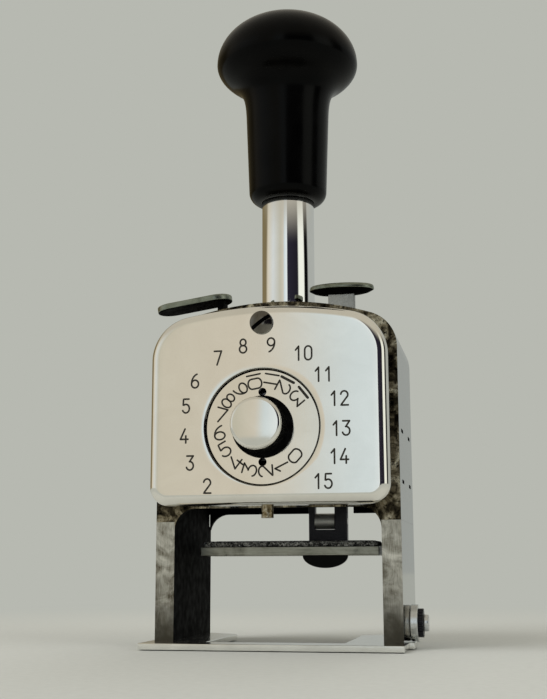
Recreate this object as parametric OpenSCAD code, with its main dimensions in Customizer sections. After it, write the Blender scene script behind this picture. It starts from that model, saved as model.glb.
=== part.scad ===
// Hand numbering machine on a U-shaped foot: a plunger with six number wheels, an ink-pad tray that swings
// away, and a setting dial on the front cover.
// Millimetres. Z is up, the front faces -Y, and the origin is where the number wheels meet the paper:
// on the floor plane, under the axis of the stem.

/* [Foot and legs] */
// How far the base plate runs past each leg
base_rim = 1; // [0.5:0.1:3]
// Thickness of the base plate
base_t = 1.4; // [1:0.1:2]
// How far the base plate's front edge stands in front of the stem axis
base_front = 26.7; // [24:0.1:30]
// Depth of the bar across the front of the base
base_bar = 7.2; // [5:0.1:9]
// Width of each foot of the base
foot_w = 14; // [11:0.5:16]
// Width over the two legs
leg_span = 58; // [57:0.5:59]
// Thickness of a leg
leg_t = 4.5; // [4:0.1:5]
// Depth of the legs and of the case, front to back
frame_d = 34; // [32:0.5:38]

/* [Case] */
// Height of the case's lower edge between the legs
case_bottom = 31.8; // [31:0.1:33]
// Height of the case's lower edge over the legs
case_skirt = 28.7; // [27:0.1:30]
// Height of the top of the case
case_top = 81; // [80:0.1:82.5]
// Thickness of the case's side walls
case_wall = 2.5; // [2:0.1:2.8]
// Thickness of the case's top wall
case_roof = 2.6; // [2:0.1:3.2]
// Thickness of the case's front wall
case_front_t = 2.2; // [1.8:0.1:2.6]
// Radius of the case's upper corners
case_corner = 8.8; // [7:0.1:11]
// Radius of the arches at the top of the gap between the legs
arch_r = 5; // [4:0.5:7]
// How far the top falls from its middle to the corners
crown_drop = 2.8; // [2:0.1:3.4]

/* [Front cover and dial] */
// Width of the front cover
cover_w = 55.4; // [54:0.1:56.5]
// Height of the top of the cover
cover_top = 77.8; // [77:0.1:78.6]
// How far the cover's top falls from its middle to the corners
cover_crown = 1.5; // [1:0.1:2.2]
// Radius of the cover's upper corners
cover_corner = 10.4; // [8:0.1:12]
// How far the cover's face stands in front of the stem axis
cover_front = 28.4; // [27.5:0.1:30]
// Sheet thickness of the cover
cover_t = 1; // [0.8:0.1:1.4]
// Radius of the cover's rounded front edge
cover_edge = 2.4; // [1.5:0.1:3]
// Height of the dial's centre above the floor
dial_z = 49.5; // [48:0.1:51]
// How far the dial's centre lies left of the mid plane
dial_left = 1; // [0:0.1:2]
// Diameter of the dial opening in the cover
dial_hole_d = 26.6; // [24:0.1:28]
// Clearance between the setting disc and its opening, on the radius
dial_gap = 0.3; // [0.2:0.05:0.5]
// Depth of the setting disc behind the cover's face
dial_recess = 0.9; // [0.6:0.1:1.4]
// Thickness of the setting disc
disc_t = 1.2; // [0.8:0.1:1.6]
// Diameter of the setting knob's grip
knob_d = 11.8; // [10:0.1:14]
// How far the knob stands out of the cover's face
knob_out = 7.3; // [5:0.1:9]
// Diameter of the two key holes in the setting disc
key_hole_d = 1.9; // [1.4:0.1:2.4]
// Distance of the key holes from the dial's centre
key_hole_r = 8; // [7.5:0.1:10]
// Diameter of the dial shaft
dial_shaft_d = 4; // [3:0.1:5]
// Number of click positions of the dial
dial_steps = 17; // [14:1:20]

/* [Handle and stem] */
// Diameter of the stem tube
stem_d = 13.4; // [12:0.1:14]
// Wall of the stem tube
stem_wall = 1.5; // [1:0.1:2]
// Height of the handle's lower end above the floor
handle_bottom = 111; // [110.5:0.5:116]
// Diameter of the handle at its lower end
neck_d = 19.6; // [18:0.1:22]
// Diameter of the neck under the knob
neck_top_d = 22.5; // [21:0.1:25]
// Length of the neck
neck_len = 29; // [24:0.5:34]
// Diameter of the handle's knob
grip_d = 37.2; // [34:0.2:42]
// Height of the knob above its widest ring
grip_crown = 13.6; // [11:0.1:16]
// Height of the knob below its widest ring
grip_under = 8.7; // [7:0.1:11]

/* [Wheel head] */
// Stroke of the plunger, from rest to the paper
stroke = 33; // [30:0.1:33.2]
// Outer diameter over the raised figures
wheel_d = 19; // [18:0.1:19.4]
// Diameter of the wheel axle
axle_d = 4; // [3.5:0.1:5]
// Number of wheels
wheel_count = 6; // [6]
// Running gap between neighbouring wheels
wheel_gap = 0.25; // [0.2:0.05:0.4]
// Gap that stays between the wheels and the floor at the end of the stroke
paper_gap = 0.3; // [0.2:0.05:0.6]
// Thickness of the head's side plates
cheek_t = 2; // [1.6:0.1:2.4]
// Depth of the crosshead, front to back
crosshead_d = 15; // [14.4:0.2:15.6]
// Height of the crosshead
crosshead_h = 6.5; // [5:0.1:8]

/* [Ink pad] */
// Gap between the ink-pad tray and each leg
tray_gap = 2.3; // [1.5:0.1:3.5]
// How far the tray's front edge stands in front of the stem axis
tray_front = 2; // [0:0.1:4]
// How far the tray's rear edge stands behind the stem axis
tray_back = 12.6; // [12:0.1:13]
// Height of the tray's underside above the floor
tray_z = 20.9; // [19:0.1:22]
// Thickness of the tray
tray_t = 2.2; // [1.6:0.1:2.6]
// Thickness of the felt that shows above the tray
felt_t = 1.5; // [1:0.1:2]
// Height of the pad's pivot above the floor
pad_pivot_z = 37; // [36.5:0.1:38]
// Distance of the pad's pivot behind the stem axis
pad_pivot_y = 13; // [12.6:0.1:13.2]
// Room between the two ears that carry the tray
strap_in = 5; // [4:0.2:7]
// How far the middle of that room lies right of the mid plane
strap_right = 7.1; // [5:0.1:8]

/* [Controls] */
// Length of the thumb lever's plate
lever_l = 19; // [16:0.5:20]
// Width of the thumb lever's plate
lever_w = 8; // [6:0.5:9]
// Sheet thickness of the thumb lever
lever_t = 1.5; // [1.2:0.1:2]
// Angle by which the lever's plate falls to its free end, in degrees
lever_tilt = 5; // [2:0.5:8]
// Height of the thumb lever's raised end above the case
lever_rise = 2; // [1.8:0.1:3]
// Length of the push button's cap
button_l = 15.8; // [14:0.2:17]
// Width of the push button's cap
button_w = 8; // [6:0.5:9]
// Thickness of the push button's cap
button_t = 2.2; // [1.6:0.1:2.6]
// Travel of the push button
button_travel = 2.2; // [1.8:0.1:2.2]
// Height of the cap's underside above the case
button_rise = 2.2; // [2.2:0.1:3]
// Width of the push button's flat post
post_w = 6.4; // [5:0.1:8]

/* [Clamp screw] */
// Height of the clamp screw's axis above the base plate
clamp_rise = 4.2; // [4.2:0.1:6]
// Distance of the clamp screw in front of the stem axis
clamp_front = 12; // [8:0.5:13]
// Diameter of the clamp washer
clamp_washer_d = 8; // [7:0.1:8.2]
// Diameter of the knurled nut
clamp_nut_d = 6.4; // [5:0.1:7]
// Number of grooves in the knurled nut
clamp_grooves = 24; // [16:1:32]

/* [Hidden] */

$fn = 64;
hull_fn = 32;

// Clearances
run_gap = 0.05;        // radial gap of a running fit
slide_gap = 0.4;       // gap round a part that slides in a slot
seat_gap = 0.3;        // gap where a loose piece lies on its seat
over = 1;              // how far a cutting body runs past the face it cuts

// Foot and legs
leg_in = leg_span / 2 - leg_t;                 // inner face of a leg
tongue_t = leg_t - case_wall;                  // the leg's tongue inside the case
tongue_h = 24;                                 // height of the tongue above the case's lower edge
leg_screw_d = 3;
leg_screw_head_d = 5;
leg_screw_head_h = 1.4;
leg_screw_low = 6;                             // heights of the leg screws above the case's lower edge
leg_screw_high = 18;
leg_screw_z = [case_bottom + leg_screw_low, case_bottom + leg_screw_high];
leg_screw_y = 9;
base_w = leg_span + 2 * base_rim;
foot_back = 11.7;                              // where the foot's inner corner starts to slant
foot_in = base_w / 2 - foot_w;
ear_w = 1.3;
ear_l = 8;
base_screw_d = 3;
base_screw_head_d = 4.2;
base_screw_sink = 2 * base_t / 3;
base_screw_y = [5 - clamp_front, 9];           // the front one passes behind the clamp screw
base_screw_len = 5;

// Case
case_in = leg_span / 2 - case_wall;            // inner face of a side wall
case_y0 = -frame_d / 2;
case_y1 = frame_d / 2;
cavity_y0 = case_y0 + case_front_t;
back_t = 1.5;
back_gap = 0.1;
back_screw_len = 6;
back_screw_d = 2.4;
back_screw_head_d = 4.4;
back_screw_head_h = 1;
back_screw_in = 4;                             // distance of the back screws from the legs' inner faces
back_screw_x = leg_in - back_screw_in;
back_screw_rise = 15;
back_screw_drop = 12;
back_screw_z = [case_bottom + back_screw_rise, case_top - back_screw_drop];
lug_d = 6;                                     // width of the lugs that take the back plate's screws
lug_l = 5;                                     // how far they reach forward from the back plate
back_in = case_y1 - back_t - back_gap;         // y of the lugs' and tongues' rear ends
roof_in = case_top - case_roof;
crown_half = leg_span / 2 - case_corner;
crown_r = (pow(crown_half, 2) + pow(crown_drop, 2)) / (2 * crown_drop);

// How far the crowned top has fallen at distance x from the mid plane.
function crown_fall(x) = crown_r - sqrt(pow(crown_r, 2) - pow(x, 2));

// Cover outline: crowned top, rounded corners
cover_bottom = case_bottom + 0.1;
cover_low_corner = 4.5;
crown_steps = 2;

// Dial
dial_x = -dial_left;
disc_face = -cover_front + dial_recess;        // y of the disc's face
disc_back = disc_face + disc_t;
knob_foot_d = knob_d + 2.4;
knob_base_t = 0.8;
knob_flare = 1.8;                              // height of the cone from the foot to the grip
knob_dome = 1.6;                               // height of the domed end
bush_d = 9;
bush_flange_d = 13;
bush_flange_t = 1.4;
ratchet_d = 15;
ratchet_t = 2;
ratchet_tooth = 0.9;
ratchet_y = disc_back + 2.2;                   // front face of the dial ratchet
shaft_end = cavity_y0 + 1;
click_t = 0.5;
click_w = 4;
click_h = 8;

// Screws on the cover
cover_screw_drop = 4.3;
cover_screw_z = cover_top - cover_screw_drop;
cover_screw_d = 5.4;
cover_screw_dome = 1.3;
cover_screw_thread = 2.6;
slot_w = 0.9;
low_screw_d = 2.8;
low_screw_h = 2.7;
low_screw_front = 22;
low_screw_thread = 1.8;
low_lug_w = 6;
low_lug_t = 2;

// Stem and head
wheel_z = stroke + paper_gap + wheel_d / 2;    // height of the wheel axle at rest
cheek_rim = 2.1;                               // how far the crosshead runs past the cheeks
cheek_gap = 1.3;                               // room between a cheek and the outer wheel
coil_wire_d = 0.9;
coil_d = 5;                                    // outer diameter of a return spring
coil_wall_gap = 0.7;                           // gap between a return spring and the leg beside it
coil_gap = 0.8;                                // gap between a return spring and the crosshead
coil_x = leg_in - coil_wall_gap - coil_d / 2;
crosshead_w = 2 * (coil_x - coil_d / 2 - coil_gap);
cheek_in = crosshead_w / 2 - cheek_rim - cheek_t;
head_half = cheek_in - cheek_gap;
wheel_pitch = 2 * head_half / wheel_count;
cheek_y = 8;
cheek_round = 6.2;
cheek_ear = 3;                                 // how far the cheek's wide part reaches below the pawl rod
eye_wall = 1;                                  // wall round the detent bar
nut_w = 1.4;                                   // thickness of the axle's nuts
axle_nut_d = 7;
axle_tip = 1.6;                                // how far the axle runs past the springs' hooks
crosshead_z = 56;
crosshead_top = crosshead_z + crosshead_h;
cheek_seat = 1.2;                              // how deep the cheeks sit in the crosshead
stem_seat = 4;                                 // how deep the stem sits in the crosshead
stem_in_handle = 20;
neck_round = 2;                                // rounding of the handle's lower end and of the neck's top
bush_wall = 1.8;
bush_len = 9;
bush_rim = 0.6;
well_gap = 1;                                  // gap round the handle's lower end in the roof's well
well_wall = 2.2;
well_d = neck_d + 2 * well_gap;
well_floor = min(case_top, handle_bottom - stroke - bush_rim - seat_gap);
figure_h = 0.8;
figure_w = 2.6;
ratchet_ring_w = 0.9;
wheel_ratchet_d = wheel_d - 3.6;
figure_edge = 0.3;                             // margin beside the figures
notch_r = 0.9;
notch_out = 0.2;                               // how far the notches' centres lie outside the ratchet
detent_y = -7.2;
detent_rise = 9;
detent_z = wheel_z + detent_rise;
detent_bar_d = 3;
detent_t = 0.5;
detent_strip_h = 3;
leaf_gap = 0.7;                                // half the gap between neighbouring leaves
pawl_y = 6.9;
pawl_rise = 9.8;
pawl_z = wheel_z + pawl_rise;
pawl_rod_d = 2.4;
pawl_wall = 0.8;
finger_l = 3.6;
finger_t = 1;
spine_h = 0.45;                                // ridge along the comb that balances its fingers

// Springs
hook_x = coil_x - (coil_d - coil_wire_d) / 2;  // the line of a spring's two ends
coil_turns = 12;
coil_drop = 6;                                 // length of the anchor pins below the roof
coil_top = roof_in - coil_drop;
coil_bottom = wheel_z + axle_d / 2;
anchor_d = 2;
pin_len = 5;
hook_rise = 1.6;
curl_rings = 8;
wire_sides = 6;

// Pad
tray_w = 2 * (leg_in - tray_gap);
tray_top = tray_z + tray_t;
felt_border = 0.4;
felt_sink = 0.6;
ear_left_t = 1.6;                              // the two ears of the tray's bracket
ear_right_t = 3.2;
ear_depth = 2.2;
ear_x = [strap_right - strap_in / 2 - ear_left_t, strap_right + strap_in / 2];
ear_t = [ear_left_t, ear_right_t];
strap_x0 = ear_x[0];
strap_x1 = ear_x[1] + ear_right_t;
strap_foot_h = 4.4;                            // height of the block between the ears above the tray
spacer_d = 4;
spacer_rise = 6.5;
spacer_z = tray_top + spacer_rise;
spacer_rivet_d = 1.6;
crank_t = 1.4;
rod_d = 2.6;
eye_d = 5;
crank = 3.6;
tab_w = 11;
tab_h = 3;
tab_t = 1.6;
tab_x = 9;

// Controls
control_y = -11.8;                             // both controls stand on this line
lever_end_x = -12;                             // the lever plate's right end
lever_shank_in = 2.4;                          // distance of the lever's shank from that end
lever_x = lever_end_x - lever_shank_in;
lever_sway = 1.6;                              // room for the shank in the roof's slot
slot_z = case_top - crown_drop - 2 * case_roof; // where the roof's slots begin, below its lowest stretch
lever_pin_drop = 8;
lever_pin_z = case_top - lever_pin_drop;
lever_pin_d = 2;
lever_eye_d = 4;
lever_shank_w = 5;
button_x = 15.4;
post_t = 2;
post_drop = 6;                                 // how far the post reaches below the roof
post_bottom = roof_in - post_drop;
button_stop = 1.6;                             // how far the stop collar stands out on each side
collar_h = 1.5;
guide_t = 1.2;
guide_w = 7.4;
button_coil_d = 4.4;
button_wire_d = 0.6;
button_turns = 4;
button_run = 0.4;                              // straight run at the ends of the button's spring
button_coil_h = 3 * button_travel;             // length of the button's spring at rest
button_coil_z = post_bottom - button_coil_h;

// Clamp
washer_t = 1.2;
disc_lug_t = 1.6;
disc_lug_d = 8.2;
disc_step = 1.6;                               // by how much the disc's inner step is smaller than the washer
clamp_gap = 0.2;
nut_t = 1.1;
clamp_thread_d = 2.6;
clamp_head_d = 3.8;
clamp_head_t = 1.1;
groove_d = 0.5;
clamp_x = leg_span / 2;
clamp_z = base_t + clamp_rise;
clamp_nut_x = clamp_x + washer_t + clamp_gap + disc_lug_t + run_gap;

// ---------------------------------------------------------------- helpers

// A cylinder along X, from x0 to x1, at the given y and z.
module rod_x(x0, x1, y, z, d) {
    translate([x0, y, z]) rotate([0, 90, 0]) cylinder(h = x1 - x0, d = d);
}

// A cylinder along Y, from y0 to y1, at the given x and z.
module rod_y(y0, y1, x, z, d) {
    translate([x, y0, z]) rotate([-90, 0, 0]) cylinder(h = y1 - y0, d = d);
}

// A plate with two round ends, lying flat, long side along X, centred on the origin.
module oblong(l, w, t) {
    linear_extrude(t) {
        square([l - w, w], center = true);
        for (s = [-1, 1]) translate([s * (l - w) / 2, 0]) circle(d = w);
    }
}

// An outline in X and Z: straight sides, a crowned top that is one large arc, and round corners that run
// smoothly into it.
module crowned(w, bottom, top, r_top) {
    half = w / 2 - r_top;
    zc = top - crown_r + sqrt(pow(crown_r - r_top, 2) - half * half);
    xt = half * crown_r / (crown_r - r_top);
    intersection() {
        translate([0, top - crown_r]) circle(r = crown_r, $fn = 180);
        translate([-xt, zc]) square([2 * xt, top - zc]);
    }
    translate([-w / 2, bottom]) square([w, zc - bottom]);
    for (s = [-1, 1]) translate([s * half, zc]) circle(r = r_top);
}

// Extrudes a child drawn in X and Z from y0 to y1.
module along_y(y0, y1) {
    translate([0, y1, 0]) rotate([90, 0, 0]) linear_extrude(y1 - y0) children();
}

// Points of a helix that climbs from z0 to z1 round a vertical line, with a straight run at each end.
function coil_path(r, z0, z1, turns, run) = concat(
    [[-r, 0, z0]],
    [for (i = [0:turns * curl_rings])
        let (a = 360 * i / curl_rings, f = i / (turns * curl_rings))
        [-r * cos(a), r * sin(a), z0 + run + (z1 - z0 - 2 * run) * f]],
    [[-r, 0, z1]]
);

function unit(v) = v / norm(v);

// Direction of a path at point i.
function heading(p, i) = unit(p[min(i + 1, len(p) - 1)] - p[max(i - 1, 0)]);

// A tube along the points p: rings of wire_sides points, joined into one closed skin.
module wire(p, d) {
    n = wire_sides;
    rings = [for (i = [0:len(p) - 1])
        let (
            t = heading(p, i),
            out = unit([p[i][0], p[i][1], 0] - t * ([p[i][0], p[i][1], 0] * t)),
            up = cross(t, out)
        )
        for (k = [0:n - 1]) p[i] + (cos(360 * k / n) * out + sin(360 * k / n) * up) * d / 2];
    last = len(p) - 1;
    sides = [for (i = [0:last - 1], k = [0:n - 1])
        let (a = i * n + k, b = i * n + (k + 1) % n)
        each [[a, b + n, b], [a, a + n, b + n]]];
    caps = concat(
        [for (k = [1:n - 2]) [0, k, k + 1]],
        [for (k = [1:n - 2]) [last * n, last * n + k + 1, last * n + k]]
    );
    polyhedron(points = rings, faces = concat(sides, caps));
}

// ---------------------------------------------------------------- foot and legs

module base_outline() {
    difference() {
        translate([-base_w / 2, -base_front]) square([base_w, base_front + frame_d / 2]);
        polygon([
            [-foot_in, base_bar - base_front], [foot_in, base_bar - base_front],
            [foot_in, foot_back], [leg_in, frame_d / 2 + over], [-leg_in, frame_d / 2 + over],
            [-foot_in, foot_back]
        ]);
    }
    // ear under the clamp screw
    translate([base_w / 2 - over, -clamp_front - ear_l / 2]) square([ear_w + over, ear_l]);
}

module base_plate() {
    color("silver")
    difference() {
        linear_extrude(base_t) base_outline();
        for (s = [-1, 1], y = base_screw_y)
            translate([s * (leg_in + leg_t / 2), y, -over]) cylinder(h = base_t + 2 * over, d = base_screw_d);
        for (s = [-1, 1], y = base_screw_y)
            translate([s * (leg_in + leg_t / 2), y, 0])
                cylinder(h = base_screw_sink, d1 = base_screw_head_d, d2 = base_screw_d);
    }
}

module base_screws() {
    color("dimgray")
    for (s = [-1, 1], y = base_screw_y)
        translate([s * (leg_in + leg_t / 2), y, 0]) {
            cylinder(h = base_screw_sink, d1 = base_screw_head_d, d2 = base_screw_d);
            cylinder(h = base_t + base_screw_len, d = base_screw_d);
        }
}

// One leg, on the right: a thick lower part and, inside the case, a thinner tongue with a lug for a screw.
module leg() {
    difference() {
        union() {
            translate([leg_in, case_y0, base_t]) cube([leg_t, frame_d, case_skirt - base_t]);
            translate([leg_in, cavity_y0, case_skirt - over])
                cube([tongue_t, back_in - cavity_y0, case_bottom + tongue_h - case_skirt + over]);
            translate([back_screw_x - lug_d / 2, back_in - lug_l, back_screw_z[0] - lug_d / 2])
                cube([leg_in + tongue_t / 2 - back_screw_x + lug_d / 2, lug_l, lug_d]);
        }
        for (y = base_screw_y)
            translate([leg_in + leg_t / 2, y, base_t - over])
                cylinder(h = base_screw_len + over, d = base_screw_d);
        for (y = [-leg_screw_y, leg_screw_y], z = leg_screw_z)
            rod_x(leg_in - over, leg_in + tongue_t + over, y, z, leg_screw_d);
        rod_y(case_y1 - back_screw_len, case_y1, back_screw_x, back_screw_z[0], back_screw_d);
    }
}

module left_leg() {
    color("gray") mirror([1, 0, 0]) leg();
}

module right_leg() {
    color("gray")
    difference() {
        leg();
        rod_x(leg_in - over, leg_span / 2 + over, -clamp_front, clamp_z, clamp_thread_d + 2 * run_gap);
    }
}

module leg_screws() {
    color("dimgray")
    for (s = [0, 1], y = [-leg_screw_y, leg_screw_y], z = leg_screw_z)
        mirror([s, 0, 0])
            difference() {
                union() {
                    rod_x(leg_in, leg_span / 2, y, z, leg_screw_d);
                    rod_x(leg_span / 2 - leg_screw_head_h, leg_span / 2, y, z, leg_screw_head_d);
                }
                translate([leg_span / 2 - leg_screw_head_h / 2, y - leg_screw_head_d, z - slot_w / 2])
                    cube([leg_screw_head_h, 2 * leg_screw_head_d, slot_w]);
            }
}

// ---------------------------------------------------------------- case

// The gap between the legs, with round upper corners, in X and Z.
module arch() {
    half = leg_in - arch_r;
    translate([-leg_in, 0]) square([2 * leg_in, case_bottom - arch_r]);
    translate([-half, 0]) square([2 * half, case_bottom]);
    for (s = [-1, 1]) translate([s * half, case_bottom - arch_r]) circle(r = arch_r);
}

// The webs that round the upper corners of that gap, between the legs' inner faces.
module arch_webs(gap, top) {
    difference() {
        translate([-leg_in + gap, case_bottom - arch_r]) square([2 * (leg_in - gap), top - case_bottom + arch_r]);
        arch();
    }
}

// Boss under the roof, on the right, for one of the back plate's upper screws.
module roof_boss() {
    top = roof_in - crown_fall(back_screw_x + lug_d / 2) + case_roof / 2;
    translate([back_screw_x - lug_d / 2, back_in - lug_l, back_screw_z[1]])
        cube([lug_d, lug_l, top - back_screw_z[1]]);
    rod_y(back_in - lug_l, back_in, back_screw_x, back_screw_z[1], lug_d);
}

// Boss under the roof for the well that takes the handle's lower end at the end of the stroke.
module well_boss() {
    r = well_d / 2 + well_wall;
    z0 = well_floor - case_roof;
    translate([0, 0, z0]) cylinder(h = roof_in - crown_fall(r) + case_roof / 2 - z0, r = r);
}

module case_body() {
    color("tan")
    difference() {
        union() {
            difference() {
                along_y(case_y0, case_y1) crowned(leg_span, case_skirt, case_top, case_corner);
                // cavity between the side walls, open below and behind
                along_y(cavity_y0, case_y1 + over)
                    crowned(2 * case_in, case_skirt - over, roof_in, case_corner - case_wall);
                along_y(case_y0 - over, cavity_y0 + over) arch();
            }
            along_y(case_y0, cavity_y0) arch_webs(0, case_bottom + over);
            for (s = [0, 1]) mirror([s, 0, 0]) roof_boss();
            well_boss();
            // lug inside the cover for its lower screw
            translate([dial_x - low_lug_w / 2, -low_screw_front - low_lug_w / 2, cover_bottom + cover_t])
                cube([low_lug_w, low_screw_front + low_lug_w / 2 + case_y0 + over, low_lug_t]);
        }
        // well and stem bush
        translate([0, 0, well_floor]) cylinder(h = case_top - well_floor + over, d = well_d);
        translate([0, 0, well_floor - case_roof - over])
            cylinder(h = case_top - well_floor + case_roof + 2 * over, d = stem_d + 2 * bush_wall);
        // slots for the two controls
        translate([lever_x - lever_t / 2 - lever_sway, control_y - lever_shank_w / 2 - slide_gap, slot_z])
            cube([lever_t + lever_sway + slide_gap, lever_shank_w + 2 * slide_gap, case_top - slot_z + over]);
        translate([button_x - post_w / 2 - slide_gap, control_y - post_t / 2 - slide_gap, slot_z])
            cube([post_w + 2 * slide_gap, post_t + 2 * slide_gap, case_top - slot_z + over]);
        // dial bush in the front wall
        rod_y(case_y0 - over, cavity_y0 + over, dial_x, dial_z, bush_d);
        // holes of the screws and pins
        for (s = [-1, 1]) {
            rod_y(case_y1 - back_screw_len, case_y1 + over, s * back_screw_x, back_screw_z[1], back_screw_d);
            translate([s * hook_x, 0, coil_top]) cylinder(h = pin_len, d = anchor_d);
        }
        rod_y(case_y0 - over, cavity_y0 + over, dial_x, cover_screw_z, cover_screw_thread);
        translate([dial_x, -low_screw_front, cover_bottom]) cylinder(h = low_lug_t + 2 * over, d = low_screw_thread);
        for (s = [0, 1], y = [-leg_screw_y, leg_screw_y], z = leg_screw_z)
            mirror([s, 0, 0]) {
                rod_x(case_in - over, leg_span / 2 + over, y, z, leg_screw_d);
                rod_x(leg_span / 2 - leg_screw_head_h, leg_span / 2 + over, y, z, leg_screw_head_d);
            }
    }
}

module back_plate() {
    w = 2 * case_in - 2 * back_gap;
    color("silver")
    difference() {
        along_y(case_y1 - back_t, case_y1) {
            crowned(w, case_bottom, roof_in - back_gap, case_corner - case_wall);
            arch_webs(back_gap, case_bottom + over);
        }
        // slot for the pad's strap
        translate([strap_x0 - over, case_y1 - back_t - over, case_bottom - over])
            cube([strap_x1 - strap_x0 + 2 * over, back_t + 2 * over, pad_pivot_z + eye_d - case_bottom + over]);
        for (s = [-1, 1], z = back_screw_z)
            rod_y(case_y1 - back_t - over, case_y1 + over, s * back_screw_x, z, back_screw_d);
    }
}

module back_screws() {
    color("silver")
    for (s = [-1, 1], z = back_screw_z)
        difference() {
            union() {
                rod_y(case_y1 - back_screw_len, case_y1, s * back_screw_x, z, back_screw_d);
                rod_y(case_y1, case_y1 + back_screw_head_h, s * back_screw_x, z, back_screw_head_d);
            }
            translate([s * back_screw_x - back_screw_head_d, case_y1 + back_screw_head_h / 2, z - slot_w / 2])
                cube([2 * back_screw_head_d, over, slot_w]);
        }
}

module stem_bush() {
    color("goldenrod")
    difference() {
        union() {
            translate([0, 0, well_floor + bush_rim - bush_len])
                cylinder(h = bush_len, d = stem_d + 2 * bush_wall);
            translate([0, 0, well_floor]) cylinder(h = bush_rim, d = stem_d + 2 * bush_wall + 2);
        }
        translate([0, 0, well_floor - bush_len]) cylinder(h = 2 * bush_len, d = stem_d + 2 * run_gap);
    }
}

// ---------------------------------------------------------------- front cover and dial

// One corner of the cover: a drum whose front edge is rounded.
module cover_drum(r, depth, edge) {
    rotate([90, 0, 0])
        rotate_extrude($fn = hull_fn)
            intersection() {
                square([r, depth]);
                union() {
                    square([r, depth - edge]);
                    square([r - edge, depth]);
                    translate([r - edge, depth - edge]) circle(r = edge, $fn = hull_fn);
                }
            }
}

// The cover's outer form, or the space inside it when inset is its wall.
module cover_form(inset, front) {
    depth = front + case_y0;
    half = cover_w / 2 - cover_corner;
    low = cover_w / 2 - cover_low_corner;
    edge = cover_edge - inset;
    hull()
        for (s = [-1, 1]) {
            translate([s * low, case_y0, cover_bottom + cover_low_corner])
                cover_drum(cover_low_corner - inset, depth, edge);
            for (i = [0:crown_steps])
                translate([s * half * i / crown_steps, case_y0,
                           cover_top - cover_corner - cover_crown * pow(i / crown_steps, 2)])
                    cover_drum(cover_corner - inset, depth, edge);
        }
}

module front_cover() {
    color("lightgray")
    difference() {
        cover_form(0, cover_front);
        translate([0, over, 0]) cover_form(cover_t, cover_front - cover_t + over);
        rod_y(-cover_front - over, case_y0, dial_x, dial_z, dial_hole_d);
        rod_y(-cover_front - over, case_y0, dial_x, cover_screw_z, cover_screw_thread);
        translate([dial_x, -low_screw_front, cover_bottom - over]) cylinder(h = 4 * over, d = low_screw_thread);
    }
}

module cover_screw() {
    color("silver")
    translate([dial_x, -cover_front, cover_screw_z]) rotate([90, 0, 0])
        difference() {
            union() {
                intersection() {
                    translate([0, 0, cover_screw_dome - cover_screw_d]) sphere(d = 2 * cover_screw_d, $fn = 96);
                    cylinder(h = 2 * cover_screw_dome, d = cover_screw_d);
                }
                translate([0, 0, -cover_front - cavity_y0])
                    cylinder(h = cover_front + cavity_y0, d = cover_screw_thread);
            }
            rotate([0, 0, 35]) translate([-cover_screw_d, -slot_w / 2, cover_screw_dome / 2])
                cube([2 * cover_screw_d, slot_w, cover_screw_dome]);
        }
}

module lower_cover_screw() {
    color("goldenrod")
    translate([dial_x, -low_screw_front, cover_bottom]) {
        translate([0, 0, -low_screw_h]) cylinder(h = low_screw_h, d = low_screw_d);
        cylinder(h = 3 * cover_t, d = low_screw_thread);
    }
}

module dial_bush() {
    color("goldenrod")
    difference() {
        union() {
            rod_y(case_y0 - bush_flange_t / 2, cavity_y0, dial_x, dial_z, bush_d);
            rod_y(case_y0 - bush_flange_t, case_y0, dial_x, dial_z, bush_flange_d);
        }
        rod_y(case_y0 - 2 * bush_flange_t, cavity_y0 + over, dial_x, dial_z, dial_shaft_d + 2 * run_gap);
    }
}

module dial_shaft() {
    color("silver")
    rod_y(disc_back, shaft_end, dial_x, dial_z, dial_shaft_d);
}

module setting_disc() {
    color("lightgray")
    difference() {
        rod_y(disc_face, disc_back, dial_x, dial_z, dial_hole_d - 2 * dial_gap);
        for (s = [-1, 1])
            rod_y(disc_face - over, disc_back + over, dial_x, dial_z + s * key_hole_r, key_hole_d);
    }
}

module setting_knob() {
    h = knob_out + dial_recess;
    color("silver")
    translate([dial_x, disc_face, dial_z]) rotate([90, 0, 0])
        rotate_extrude()
            polygon(concat(
                [[0, 0], [knob_foot_d / 2, 0], [knob_foot_d / 2, knob_base_t],
                 [knob_d / 2, knob_base_t + knob_flare]],
                [for (t = [0:15:90]) [knob_d / 2 * cos(t), h - knob_dome * (1 - sin(t))]]
            ));
}

module dial_ratchet() {
    color("gray")
    difference() {
        rod_y(ratchet_y, ratchet_y + ratchet_t, dial_x, dial_z, ratchet_d);
        for (i = [0:dial_steps - 1])
            translate([dial_x, ratchet_y - over, dial_z]) rotate([0, 360 * i / dial_steps, 0])
                translate([ratchet_d / 2 + notch_out, 0, 0]) rotate([-90, 0, 0])
                    cylinder(h = ratchet_t + 2 * over, r = ratchet_tooth);
        rod_y(ratchet_y - over, ratchet_y + ratchet_t + over, dial_x, dial_z, dial_shaft_d);
    }
}

// A flat spring that clicks on the dial's ratchet, fixed to the case's front wall above it.
module dial_click_spring() {
    z0 = dial_z + ratchet_d / 2 + seat_gap;
    color("silver") {
        translate([dial_x - click_w / 2, case_y0 - click_t, z0]) cube([click_w, click_t, click_h]);
        translate([dial_x - click_w / 2, ratchet_y, z0]) cube([click_w, case_y0 - ratchet_y, click_t]);
    }
}

// ---------------------------------------------------------------- handle, stem and head

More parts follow.
